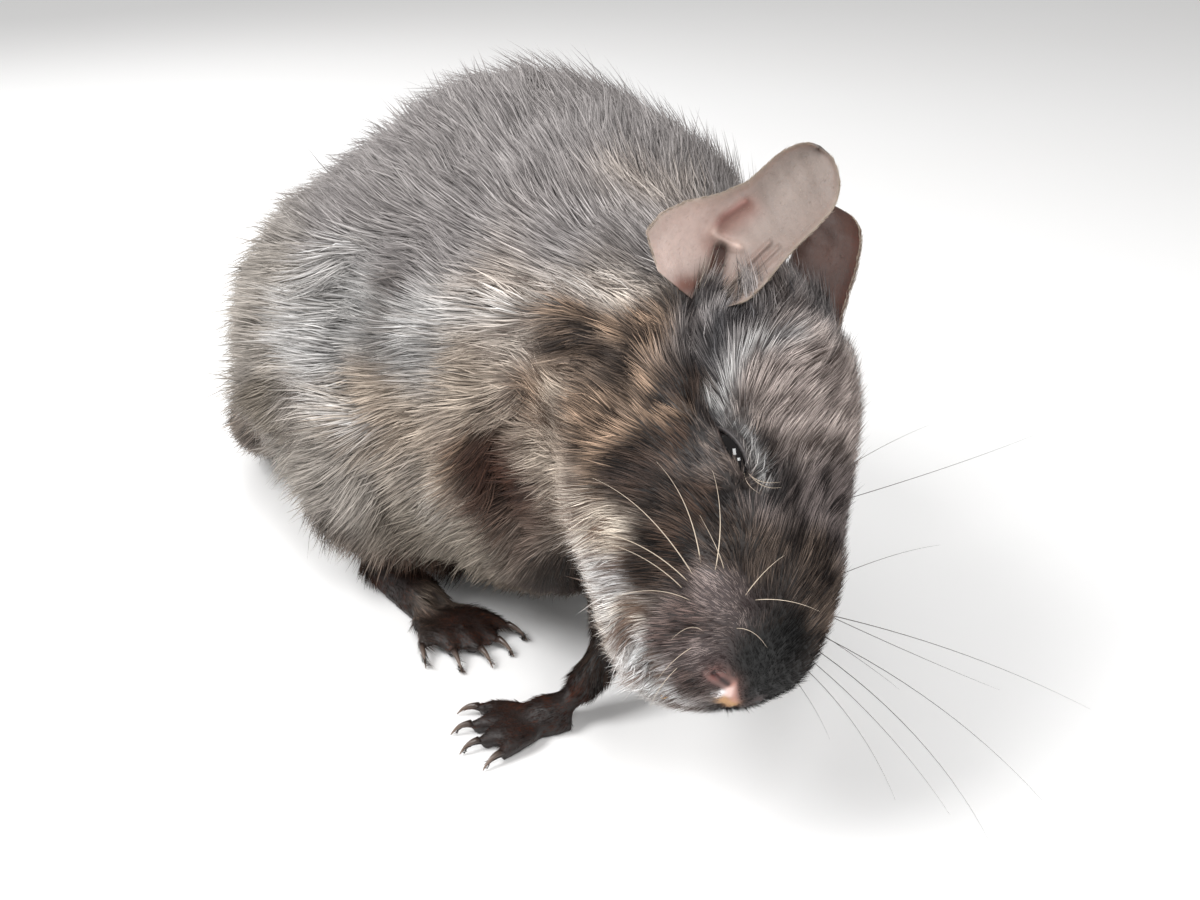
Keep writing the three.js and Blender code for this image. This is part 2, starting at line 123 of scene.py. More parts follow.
class Coat(Enum):
    """The named colours of the coat; a few of them stand for painted light or shade, noted where each
    is set.
    """

    BACK = Tint((87, 82, 81), (185, 179, 177))
    # Partly grey hair, partly painted sheen where the haunch and flank face the light.
    SILVER_SHEEN = Tint((102, 101, 101), (224, 221, 218))
    RUMP = Tint((106, 100, 93), (215, 206, 197))
    FLANK = Tint((97, 83, 71), (237, 220, 202))
    BELLY = Tint((87, 78, 69), (191, 180, 165))
    NECK = Tint((107, 95, 88), (246, 233, 220))
    GOLD = Tint((47, 37, 31), (196, 166, 141), 1.1)
    # Painted shade for creases, the recess by the tail and the underside of the jaw.
    SHADE = Tint((34, 28, 25), (112, 100, 90), 1.1)
    SNOUT = Tint((32, 23, 22), (135, 115, 109), 1.1)
    # Painted highlight: pale lines on ridge crests where the light catches the hair.
    CREASE = Tint((152, 142, 133), (255, 255, 255), 0.8)
    # Partly the reddish skin showing in the deep fold, partly painted shade in it.
    HOLLOW_SHADE = Tint((36, 20, 15), (96, 66, 53), 1.2)
    LUMP = Tint((31, 27, 23), (97, 88, 80), 1.1)
    CHEEK = Tint((12, 7, 6), (96, 77, 66), 1.2)
    PATCH = Tint((16, 12, 12), (69, 59, 56), 1.3)
    JAW = Tint((121, 98, 83), (255, 241, 223))
    LIP = Tint((119, 101, 91), (255, 255, 255), 0.9)
    CROWN = Tint((49, 45, 46), (176, 169, 167), 1.1)
    TUFT = Tint((16, 14, 18), (83, 83, 87), 1.4)
    BROW = Tint((115, 113, 115), (223, 222, 220), 0.8)
    FOREHEAD = Tint((89, 77, 72), (232, 216, 208))
    BLAZE = Tint((27, 22, 22), (145, 133, 130), 1.1)
    MUZZLE = Tint((26, 19, 17), (125, 109, 98), 1.2)
    # Partly dark hair, partly painted shade: near black where the nose bridge lies in shade.
    BRIDGE_SHADE = Tint((1, 1, 1), (10, 8, 7), 1.4)
    PAD = Tint((66, 54, 54), (180, 164, 159))
    SOCKET = Tint((34, 28, 28), (159, 144, 135), 1.1)
    LID = Tint((112, 111, 112), (222, 221, 219), 0.8)
    DUSK = Tint((26, 23, 23), (89, 83, 80), 1.1)
    LEG = Tint((13, 8, 6), (70, 54, 45), 1.2)
    FOOT = Tint((18, 7, 4), (81, 45, 31), 1.3)
    TAIL = Tint((60, 53, 48), (172, 158, 146))
    BRUSH = Tint((9, 8, 8), (54, 47, 44), 1.4)


# Places


def unit(vectors: Array) -> Array:
    """Returns vectors at length one; the last axis holds x, y and z."""
    return vectors / np.maximum(np.linalg.norm(vectors, axis=-1, keepdims=True), 1e-9)


def ramp(low: float, high: float, value: Array) -> Array:
    """Returns 0 below `low`, 1 above `high` and a soft ramp between."""
    share = np.clip((value - low) / (high - low), 0.0, 1.0)
    return share * share * (3 - 2 * share)


def bell(value: Array, width: float) -> Array:
    """Returns 1 at zero, falling off softly over `width`."""
    return np.exp(-((value / width) ** 2))


def dot(one: Array, two: Array) -> Array:
    """Returns the dot product of rows of vectors, kept as a column."""
    return (one * two).sum(-1, keepdims=True)


def line_gap(points: Array, line: Array) -> Array:
    """Measures how far places are from a line of straight runs.

    Args:
        points: the places.
        line: the line's corners; a single corner stands for itself.

    Returns:
        The distance of each place.
    """
    if len(line) == 1:
        return np.linalg.norm(points - line[0], axis=1)
    nearest = np.full(len(points), 1e9)
    for one, two in zip(line[:-1], line[1:]):
        span = two - one
        share = np.clip((points - one) @ span / span.dot(span), 0, 1)
        gap = np.linalg.norm(points - one - share[:, None] * span, axis=1)
        nearest = np.minimum(nearest, gap)
    return nearest


def washed(colours: Array, places: Array, washes: Iterable[tuple]) -> Array:
    """Lays soft-edged colours along lines over others.

    Args:
        colours: the colours so far, a row for each place.
        places: the places, in the lines' own measure.
        washes: the line, width, tone and strength of each.

    Returns:
        The colours with the washes over them.
    """
    for line, width, tone, strength in washes:
        share = np.minimum(strength * bell(line_gap(places, np.array(line)), width), 1)[:, None]
        colours = colours + share * (linear(*tone) - colours)
    return colours


def drift(points: Array, size: float, seed: int) -> Array:
    """Returns a smooth wandering value from about -1 to 1 over space.

    Args:
        points: the places.
        size: how far apart its lumps are.
        seed: picks one pattern.

    Returns:
        The value at each place.
    """
    random = np.random.default_rng(seed)
    waves = unit(random.normal(size=(9, 3))) * 2 * math.pi
    waves = waves / (size * random.uniform(0.7, 1.6, (9, 1)))
    return np.sin(points @ waves.T + random.uniform(0, 2 * math.pi, 9)).sum(1) / 3.4


class Place:
    """Turns between the frame's metres and the animal's own millimetres."""

    shift: Array = np.zeros(3)

    @classmethod
    def settle(cls, node: str, centre: Array) -> None:
        """Finds the shift between the two measures.

        Args:
            node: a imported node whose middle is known.
            centre: that middle in the animal's own measure.
        """
        low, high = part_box(node)
        cls.shift = np.array((low + high) / 2) / MM - centre

    @classmethod
    def read(cls, piece: bpy.types.Object) -> Array:
        """Returns a piece's vertices in the animal's own measure."""
        flat = np.empty(len(piece.data.vertices) * 3)
        piece.data.vertices.foreach_get("co", flat)
        return flat.reshape(-1, 3) / MM - cls.shift

    @classmethod
    def write(cls, piece: bpy.types.Object, points: Array) -> None:
        """Sets a piece's vertices from places in the animal's own measure."""
        piece.data.vertices.foreach_set("co", cls.metres(points).ravel())
        piece.data.update()

    @classmethod
    def metres(cls, points: Array) -> Array:
        """Returns places in the frame's metres."""
        return (np.asarray(points, float) + cls.shift) * MM


@dataclass(frozen=True)
class Skull:
    """The skull's own frame: x to the animal's left, y to the back of the head, z to the crown."""

    centre: Point = (-17.4, -63.1, 45.4)
    nose: Point = (-0.395, -0.479, -0.784)
    left: Point = (0.817, 0.181, -0.524)

    def axes(self) -> Array:
        """Returns the three axes as rows."""
        forward = unit(np.array(self.nose))
        left = np.array(self.left)
        left = unit(left - forward * left.dot(forward))
        return np.array([left, -forward, np.cross(forward, left)])

    def out(self, points: Array) -> Array:
        """Returns places given in the skull's frame in the animal's measure."""
        return np.asarray(points, float) @ self.axes() + np.array(self.centre)

    def into(self, points: Array) -> Array:
        """Returns places of the animal in the skull's frame."""
        return (points - np.array(self.centre)) @ self.axes().T

    def turn(self, ways: Array) -> Array:
        """Returns directions given in the skull's frame in the animal's measure."""
        return np.asarray(ways, float) @ self.axes()


SKULL = Skull()
EYE_PLACES = {"right": (-11.0, -4.8, 4.9), "left": (11.0, -4.8, 4.9)}
EYE_RADIUS = 3.7
Place.settle("eye_right", SKULL.out(EYE_PLACES["right"]))


# Making and shaping pieces


def only(piece: Optional[bpy.types.Object]) -> None:
    """Selects one piece and makes it active, or deselects everything."""
    for other in bpy.context.scene.objects:
        other.select_set(False)
    if piece is not None:
        piece.select_set(True)
        bpy.context.view_layer.objects.active = piece


@contextmanager
def editing(piece: bpy.types.Object) -> Iterator[None]:
    """Opens a piece for editing with all of it selected, and closes it again."""
    only(piece)
    bpy.ops.object.mode_set(mode="EDIT")
    bpy.ops.mesh.select_all(action="SELECT")
    yield
    bpy.ops.object.mode_set(mode="OBJECT")


def placed(name: str, data: bpy.types.ID) -> bpy.types.Object:
    """Returns a new object in the scene that holds the data."""
    holder = bpy.data.objects.new(name, data)
    bpy.context.scene.collection.objects.link(holder)
    return holder


def copied(source: bpy.types.Object) -> bpy.types.Object:
    """Returns a copy of a piece with a mesh of its own."""
    piece = source.copy()
    piece.data = source.data.copy()
    bpy.context.scene.collection.objects.link(piece)
    return piece


def merged_copy(node: str) -> bpy.types.Object:
    """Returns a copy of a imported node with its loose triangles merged."""
    piece = copied(frame["nodes"][node])
    piece.parent = None
    for mark in list(piece.keys()):
        del piece[mark]
    with editing(piece):
        bpy.ops.mesh.remove_doubles(threshold=SAME)
    return piece


def eye_ball(side: str, radius: float, segments: int, rings: int) -> bpy.types.Object:
    """Returns a ball round the middle of one eye.

    Args:
        side: "right" or "left".
        radius: its radius.
        segments: how many faces it has round its middle.
        rings: how many from pole to pole.

    Returns:
        The ball.
    """
    only(None)
    bpy.ops.mesh.primitive_uv_sphere_add(segments=segments, ring_count=rings, radius=1.0)
    ball = bpy.context.active_object
    local = (Place.read(ball) + Place.shift) * MM * radius
    Place.write(ball, SKULL.out(local + np.array(EYE_PLACES[side])))
    return ball


def apply_modifier(piece: bpy.types.Object, kind: str, **settings: object) -> None:
    """Adds one modifier to a piece and applies it.

    Args:
        piece: the piece to finish.
        kind: the modifier's type.
        settings: its settings by name.
    """
    only(piece)
    modifier = piece.modifiers.new(kind.lower(), kind)
    for name, value in settings.items():
        setattr(modifier, name, value)
    bpy.ops.object.modifier_apply(modifier=modifier.name)


def joined(pieces: Sequence[bpy.types.Object], name: str) -> bpy.types.Object:
    """Joins pieces into the first one and names it.

    Args:
        pieces: the pieces.
        name: the name of the whole.

    Returns:
        The one piece.
    """
    only(None)
    for piece in pieces:
        piece.select_set(True)
    bpy.context.view_layer.objects.active = pieces[0]
    if len(pieces) > 1:
        bpy.ops.object.join()
    pieces[0].name = name
    pieces[0].data.name = name
    return pieces[0]


def refine(piece: bpy.types.Object, chosen: Array) -> None:
    """Splits some faces of a piece in four.

    Args:
        piece: the piece.
        chosen: whether each point is chosen. A face is split where all its corners are.
    """
    only(piece)
    bpy.ops.object.mode_set(mode="EDIT")
    bpy.ops.mesh.select_mode(type="VERT")
    bpy.ops.mesh.select_all(action="DESELECT")
    bpy.ops.object.mode_set(mode="OBJECT")
    piece.data.vertices.foreach_set("select", chosen)
    bpy.ops.object.mode_set(mode="EDIT")
    bpy.ops.mesh.select_mode(type="FACE")
    bpy.ops.mesh.subdivide(number_cuts=1, smoothness=0.6)
    bpy.ops.object.mode_set(mode="OBJECT")


def round_off(piece: bpy.types.Object) -> None:
    """Shades a piece smooth."""
    piece.data.polygons.foreach_set("use_smooth", np.ones(len(piece.data.polygons), bool))


def normals(piece: bpy.types.Object) -> Array:
    """Returns the outward direction at each vertex."""
    flat = np.empty(len(piece.data.vertices) * 3)
    piece.data.vertices.foreach_get("normal", flat)
    return flat.reshape(-1, 3)


def relaxed(piece: bpy.types.Object, values: Array, rounds: int, share: object = 0.5) -> Array:
    """Evens out values over a mesh by drawing each towards its neighbours' middle.

    Args:
        piece: the mesh whose edges say what neighbours what.
        values: one row for each vertex.
        rounds: how many times.
        share: how far to draw each time, one number or one for each vertex.

    Returns:
        The evened values.
    """
    edges = np.empty(len(piece.data.edges) * 2, int)
    piece.data.edges.foreach_get("vertices", edges)
    one, two = edges[0::2], edges[1::2]
    count = len(values)
    around = np.maximum(np.bincount(one, minlength=count) + np.bincount(two, minlength=count), 1)
    flat = values.reshape(count, -1).copy()
    pull = np.broadcast_to(np.asarray(share, float), (count,))
    for _ in range(rounds):
        for axis in range(flat.shape[1]):
            row = flat[:, axis]
            total = np.bincount(one, row[two], count) + np.bincount(two, row[one], count)
            flat[:, axis] = row + pull * (total / around - row)
    return flat.reshape(values.shape)


def mesh_piece(name: str, points: Array, faces: Array) -> bpy.types.Object:
    """Makes a piece from arrays.

    Args:
        name: the piece's name.
        points: its vertices in the animal's own measure.
        faces: the vertex numbers of each face, all with as many corners.

    Returns:
        The new piece.
    """
    mesh = bpy.data.meshes.new(name)
    mesh.vertices.add(len(points))
    mesh.vertices.foreach_set("co", Place.metres(points).astype(np.float32).ravel())
    mesh.loops.add(faces.size)
    mesh.loops.foreach_set("vertex_index", faces.astype(np.int32).ravel())
    mesh.polygons.add(len(faces))
    starts = np.arange(0, faces.size, faces.shape[1], dtype=np.int32)
    mesh.polygons.foreach_set("loop_start", starts)
    mesh.update(calc_edges=True)
    return placed(name, mesh)


def paint(piece: bpy.types.Object, colours: Array) -> None:
    """Stores a colour for each vertex of a piece, in linear light."""
    layer = piece.data.color_attributes.new(name="hue", type="FLOAT_COLOR", domain="POINT")
    full = np.ones((len(colours), 4), np.float32)
    full[:, :3] = colours
    layer.data.foreach_set("color", full.ravel())


def patch_map(piece: bpy.types.Object, faces: Array, spots: Array, spread: Array) -> None:
    """Gives each tuft or hair a small patch of the OFBake map at its root's place.

    Args:
        piece: the piece, made of as many alike tufts as there are spots.
        faces: its faces.
        spots: each root's place on the unwrap, from 0 to 1.
        spread: where each vertex of a tuft lies within a patch, from -0.5 to 0.5.
    """
    inside = np.clip(spots, PATCH, 1 - PATCH)
    flat = (inside[:, None] + spread[None] * PATCH).reshape(-1, 2)
    layer = piece.data.uv_layers.new(name="OFBake")
    layer.data.foreach_set("uv", flat[faces.ravel()].ravel())


def tube_spread(steps: int, sides: int) -> Array:
    """Returns where the vertices of one of the tubes below lie within their patch."""
    along, around = (np.linspace(-0.5, 0.5, count) for count in (steps, sides))
    step, side = np.meshgrid(along, around, indexing="ij")
    rings = np.stack([side.ravel(), step.ravel()], 1)
    return np.concatenate([rings, [[0, -0.5], [0, 0.5]]])


def tubes(paths: Array, radii: Array, sides: int) -> tuple[Array, Array]:
    """Makes closed tapering tubes along many paths at once.

    Args:
        paths: places along each tube, as tube, step, axis.
        radii: the radius at each of those places.
        sides: how many sides a tube has.

    Returns:
        The vertices and the triangles.
    """
    count, steps, _ = paths.shape
    way = unit(np.gradient(paths, axis=1))
    across = unit(np.cross(way, np.array([0.31, 0.17, 0.93])))
    third = np.cross(way, across)
    turn = np.arange(sides) * 2 * math.pi / sides
    ring = across[:, :, None] * np.cos(turn)[:, None] + third[:, :, None] * np.sin(turn)[:, None]
    rings = (paths[:, :, None] + ring * radii[:, :, None, None]).reshape(count, -1, 3)
    points = np.concatenate([rings, paths[:, [0, -1]]], axis=1)
    side, beside = np.arange(sides), (np.arange(sides) + 1) % sides
    base = np.arange(steps - 1)[:, None] * sides
    low, low_next = (base + side).ravel(), (base + beside).ravel()
    first, last, top = steps * sides, steps * sides + 1, (steps - 1) * sides
    faces = np.concatenate(
        [
            np.stack([low, low_next, low_next + sides], 1),
            np.stack([low, low_next + sides, low + sides], 1),
            np.stack([np.full(sides, first), beside, side], 1),
            np.stack([np.full(sides, last), side + top, beside + top], 1),
        ]
    )
    shift = (np.arange(count) * (steps * sides + 2))[:, None, None]
    return points.reshape(-1, 3), (faces + shift).reshape(-1, 3)


def bow(roots: Array, middles: Array, tips: Array, steps: int) -> Array:
    """Returns curved paths that start at the roots, lean over the middles and end at the tips."""
    share = np.linspace(0, 1, steps)[None, :, None]
    start, through, end = (ends[:, None] for ends in (roots, middles, tips))
    return start * (1 - share) ** 2 + through * 2 * share * (1 - share) + end * share**2


# Shading


class Value:
    """One output of a shader node, so that maths on it reads as Python."""

    def __init__(self, shader: "Shader", socket: bpy.types.NodeSocket) -> None:
        """Wraps a socket of the shader it belongs to."""
        self.shader = shader
        self.socket = socket

    def __add__(self, other: object) -> "Value":
        """Adds."""
        return self.shader.maths("ADD", self, other)

    def __mul__(self, other: object) -> "Value":
        """Multiplies."""
        return self.shader.maths("MULTIPLY", self, other)


class Shader:
    """Builds one material's nodes."""

    def __init__(self, name: str, **constants: object) -> None:
        """Starts a material.

        Args:
            name: the material's name.
            constants: values for the main shader's sockets, with _ for a space.
        """
        self.material = bpy.data.materials.new(name)
        self.material.use_nodes = True
        self.tree = self.material.node_tree
        self.tree.nodes.clear()
        self.main = self.node("ShaderNodeBsdfPrincipled")
        output = self.node("ShaderNodeOutputMaterial")
        self.tree.links.new(self.main.outputs["BSDF"], output.inputs["Surface"])
        for socket, value in constants.items():
            self.main.inputs[socket.replace("_", " ")].default_value = value

    def node(self, kind: str, settings: Optional[dict] = None, **inputs: object) -> bpy.types.Node:
        """Adds any node.

        Args:
            kind: the node's type.
            settings: its settings, set before its sockets.
            inputs: a value or a link for each socket, by name, with _ for a space.

        Returns:
            The node.
        """
        node = self.tree.nodes.new(kind)
        for name, value in (settings or {}).items():
            setattr(node, name, value)
        for name, value in inputs.items():
            self.feed(node.inputs[name.replace("_", " ")], value)
        return node

    def feed(self, socket: bpy.types.NodeSocket, value: object) -> None:
        """Gives a socket a link or a constant."""
        if isinstance(value, Value):
            self.tree.links.new(value.socket, socket)
        elif isinstance(value, bpy.types.NodeSocket):
            self.tree.links.new(value, socket)
        else:
            socket.default_value = value

    def maths(self, operation: str, *terms: object) -> Value:
        """Adds one Math node and returns its value."""
        node = self.node("ShaderNodeMath", {"operation": operation})
        for socket, term in zip(node.inputs, terms):
            self.feed(socket, term)
        return Value(self, node.outputs[0])

    def attribute(self, name: str) -> Value:
        """Reads a painted colour."""
        node = self.node("ShaderNodeAttribute", {"attribute_name": name})
        return Value(self, node.outputs["Color"])

    def noise(self, scale: float, detail: float = 3.0) -> Value:
        """Returns cloudy noise over the piece; `scale` is lumps in a metre."""
        place = self.node("ShaderNodeTexCoord").outputs["Object"]
        node = self.node(
            "ShaderNodeTexNoise", Vector=place, Scale=scale, Detail=detail, Roughness=0.55
        )
        return Value(self, node.outputs["Fac"])

    def mixed(self, share: object, one: object, two: object, blend: str = "MIX") -> Value:
        """Mixes two colours."""
        node = self.node("ShaderNodeMix", {"data_type": "RGBA", "blend_type": blend})
        self.feed(node.inputs[0], share)
        self.feed(node.inputs[6], one)
        self.feed(node.inputs[7], two)
        return Value(self, node.outputs[2])

    def bump(self, height: Value, distance: float) -> None:
        """Roughens the surface by a height from 0 to 1 over `distance` in metres."""
        node = self.node("ShaderNodeBump", Strength=1.0, Distance=distance, Height=height)
        self.feed(self.main.inputs["Normal"], node.outputs["Normal"])

    def dress(self, piece: bpy.types.Object) -> None:
        """Puts the material on a piece."""
        piece.data.materials.clear()
        piece.data.materials.append(self.material)


@dataclass(frozen=True)
class Finish:
    """A surface coloured by its painted attribute, with fine variation of its own.

    `mottle` is how much the colour varies, `grain` how many lumps fit in a metre and `relief`
    how deep they are in millimetres. `specular` is the strength of its shine and `glow` how much
    light goes through its outer layer.
    """

    name: str
    roughness: float
    mottle: float = 0.2
    grain: float = 900.0
    relief: float = 0.0
    specular: float = 0.5
    glow: float = 0.0

    def make(self) -> Shader:
        """Builds the material."""
        shader = Shader(
            self.name,
            Specular_IOR_Level=self.specular,
            Subsurface_Weight=self.glow,
            Subsurface_Scale=0.001,
            Subsurface_Radius=(1.0, 0.6, 0.45),
        )
        cloud = shader.noise(self.grain)
        shade = cloud * (2.0 * self.mottle) + (1.0 - self.mottle)
        grey = shader.node("ShaderNodeCombineColor", Red=shade, Green=shade, Blue=shade)
        hue = shader.mixed(1.0, shader.attribute("hue"), grey.outputs["Color"], "MULTIPLY")
        shader.feed(shader.main.inputs["Base Color"], hue)
        shader.feed(shader.main.inputs["Roughness"], (cloud * 0.4 + 0.8) * self.roughness)
        if self.relief > 0:
            shader.bump(shader.noise(self.grain * 2.0, 5.0), self.relief * MM)
        return shader


# The lie and the colours of the coat


@dataclass(frozen=True)
class Guide:
    """How the coat grows round one place.

    `lie` is the way the hair points, `length` its length and `depth` how far the coat stands over
    the skin. `fine` is how thin and close the tufts are: 1 on the trunk, 2 twice as thin. `both`
    sets the same guide on the other side.
    """

    at: Point
    lie: Point
    coat: Coat
    length: float
    depth: float
    fine: float = 1.0
    both: bool = True
    on_head: bool = False

    def rows(self) -> list[Array]:
        """Returns this guide, and its mirror image if any, as rows of numbers."""
        rows = []
        for side in (1.0, -1.0) if self.both else (1.0,):
            at, lie = np.array(self.at, float), np.array(self.lie, float)
            middle = 0.0 if self.on_head else Groom.MIDDLE
            at[0] = middle + (at[0] - middle) * side
            lie[0] *= side
            if self.on_head:
                at, lie = SKULL.out(at), SKULL.turn(lie)
            sizes = [self.length, self.depth, self.fine]
            rows.append(np.concatenate([at, unit(lie), self.coat.value.row(), sizes]))
        return rows


def on_head(
    at: Point,
    lie: Point,
    coat: Coat,
    length: float,
    depth: float,
    fine: float = 1.5,
    both: bool = True,
) -> Guide:
    """Returns a guide given in the skull's frame."""
    return Guide(at, lie, coat, length, depth, fine, both, on_head=True)


def single(
    at: Point, lie: Point, coat: Coat, length: float, depth: float, fine: float = 1.0
) -> Guide:
    """Returns a guide without a mirror image."""
    return Guide(at, lie, coat, length, depth, fine, both=False)


@dataclass(frozen=True)
class Marking:
    """A stripe or a spot of another colour along a line, `width` to each side."""

    line: tuple[Point, ...]
    width: float
    coat: Coat
    strength: float = 0.85
    on_head: bool = False
    both: bool = False

    def lines(self) -> list[Array]:
        """Returns the line, and its mirror image if any, in the animal's own measure."""
        found = []
        for side in (1.0, -1.0) if self.both else (1.0,):
            line = np.array(self.line, float)
            middle = 0.0 if self.on_head else Groom.MIDDLE
            line[:, 0] = middle + (line[:, 0] - middle) * side
            found.append(SKULL.out(line) if self.on_head else line)
        return found


def head_mark(
    line: tuple[Point, ...], width: float, coat: Coat, strength: float = 0.85, both: bool = False
) -> Marking:
    """Returns a marking given in the skull's frame."""
    return Marking(line, width, coat, strength, True, both)


class Groom:
    """All the guides and markings, blended over the body."""

    MIDDLE = -2.0
    SHARPNESS = 5.0

    def __init__(self, guides: Iterable[Guide], markings: Iterable[Marking]) -> None:
        """Collects the guides' numbers and the markings."""
        self.table = np.array([row for guide in guides for row in guide.rows()])
        self.markings = list(markings)

    def at(self, points: Array) -> dict[str, Array]:
        """Blends the guides and lays the markings over them.

        Args:
            points: places in the animal's own measure.

        Returns:
            The lie, dark and light colour, bias, length, depth and fineness at each place.
        """
        blended = np.empty((len(points), self.table.shape[1] - 3))
        for start in range(0, len(points), 20000):
            part = points[start : start + 20000]
            gap = np.linalg.norm(part[:, None] - self.table[None, :, :3], axis=2) + 0.6
            weight = gap**-self.SHARPNESS
            weight /= weight.sum(1, keepdims=True)
            blended[start : start + 20000] = weight @ self.table[:, 3:]
        for marking in self.markings:
            for line in marking.lines():
                gap = line_gap(points, line) + 0.18 * marking.width * drift(points, 2.5, 5)
                share = (marking.strength * bell(gap, marking.width))[:, None]
                blended[:, 3:10] += share * (marking.coat.value.row() - blended[:, 3:10])
        return {
            "lie": unit(blended[:, 0:3]),
            "dark": blended[:, 3:6],
            "light": blended[:, 6:9],
            "bias": blended[:, 9],
            "length": blended[:, 10],
            "depth": blended[:, 11],
            "fine": blended[:, 12],
        }


TRUNK_GUIDES = (
    single((1, -42, 72), (0.5, 0.8, 0.3), Coat.BACK, 6.2, 2.6),
    single((1, -28, 76), (0.6, 0.8, 0), Coat.BACK, 6.5, 2.6),
    single((-6, -13, 77), (0.4, 0.9, 0.1), Coat.BACK, 6.8, 2.6),
    single((-5, 5, 72), (0.25, 0.95, -0.2), Coat.BACK, 7, 2.6),
    single((-4, 22, 63), (0.1, 0.9, -0.45), Coat.BACK, 7, 2.6),
    single((-3, 36, 50), (0, 0.7, -0.7), Coat.RUMP, 7, 2.6),
    single((-3, 44, 34), (0, 0.3, -0.95), Coat.RUMP, 7, 2.6),
    single((-3, 42, 20), (0, -0.2, -1), Coat.BELLY, 6.5, 2.6),
    Guide((-12, -29, 75), (0.5, 0.9, 0.2), Coat.BACK, 6.5, 2.6),
    Guide((-16, -14, 72), (0.3, 0.9, 0.2), Coat.BACK, 6.8, 2.6),
    Guide((-22, -41, 68), (0.2, 0.9, 0.3), Coat.BACK, 6.2, 2.6),
    Guide((-15, -3, 71), (0.4, 0.9, 0), Coat.BACK, 7, 2.6),
    Guide((-22, -21, 66), (0.3, 1, 0.1), Coat.BACK, 6.8, 2.6),
    Guide((-19, -51, 68), (0, 1, 0.2), Coat.BACK, 5.6, 2.2, 1.2),
    Guide((-22, 5, 61), (0.2, 1, 0), Coat.BACK, 7, 2.6),
    Guide((-26, -12, 57), (0.1, 1, 0), Coat.BACK, 7, 2.6),
    # The silver guides here carry painted sheen on the flank and haunch.
    Guide((-28, -6, 50), (0, 1, -0.1), Coat.SILVER_SHEEN, 7, 2.6),
    Guide((-29, 14, 46), (0.1, 1, -0.2), Coat.RUMP, 7, 2.6),
    Guide((-31, 1, 44), (-0.2, 1, -0.2), Coat.SILVER_SHEEN, 7, 2.6),
    Guide((-32, 15, 36), (0.2, 0.9, -0.4), Coat.RUMP, 7, 2.6),
    Guide((-22, 34, 34), (0.3, 0.7, -0.6), Coat.RUMP, 7, 2.6),
    Guide((-29, -18, 50), (0, 1, -0.2), Coat.SILVER_SHEEN, 7, 2.6),
    Guide((-30, -39, 56), (0, 1, -0.3), Coat.NECK, 6.2, 2.6),
    Guide((-31, -9, 38), (-0.3, 0.9, -0.3), Coat.FLANK, 7, 2.6),
    Guide((-30, -29, 44), (0, 0.9, -0.4), Coat.FLANK, 6.8, 2.6),
    Guide((-29, -16, 31), (-0.2, 0.9, -0.5), Coat.FLANK, 7, 2.6),
    Guide((-33, -5, 24), (-0.1, 0.8, -0.6), Coat.RUMP, 6.5, 2.6),
    Guide((-30, 16, 22), (0, 0.8, -0.6), Coat.RUMP, 6.5, 2.6),
    Guide((-26, -16, 18), (0, 0.7, -0.7), Coat.BELLY, 7, 2.6),
    Guide((-18, -14, 9), (0.2, 0.9, -0.3), Coat.BELLY, 6.5, 2.4),
    single((-2, -12, 5), (0, 1, 0), Coat.BELLY, 6, 2.2, 0.8),
    single((-2, 20, 8), (0, 1, 0), Coat.BELLY, 6, 2.2, 0.8),
    # Painted shade in the fold between the neck roll and the foreleg.
    Guide((-28, -32, 33), (0, 0.9, -0.5), Coat.HOLLOW_SHADE, 5.6, 2.2),
    single((-2, -46, 24), (0, 0.6, -0.8), Coat.BELLY, 6, 2.2),
    Guide((-25, -51, 63), (-0.2, 1, 0), Coat.NECK, 5.6, 2.2, 1.2),
    Guide((-29, -48, 58), (-0.2, 0.9, -0.3), Coat.GOLD, 4.4, 2.0, 1.3),
    Guide((-31, -44, 49), (0.1, 0.8, -0.5), Coat.GOLD, 4.4, 2.0, 1.3),
    single((-33.5, 2.5, 35.5), (-0.6, 0.4, -0.7), Coat.RUMP, 4.2, 2.0, 1.2),
    single((-32.5, 12, 33), (-0.5, 0.5, -0.7), Coat.BELLY, 4.4, 2.2, 1.2),
    Guide((-30, -45, 39), (0.3, 0.8, -0.6), Coat.FLANK, 5.6, 2.2, 1.2),
)
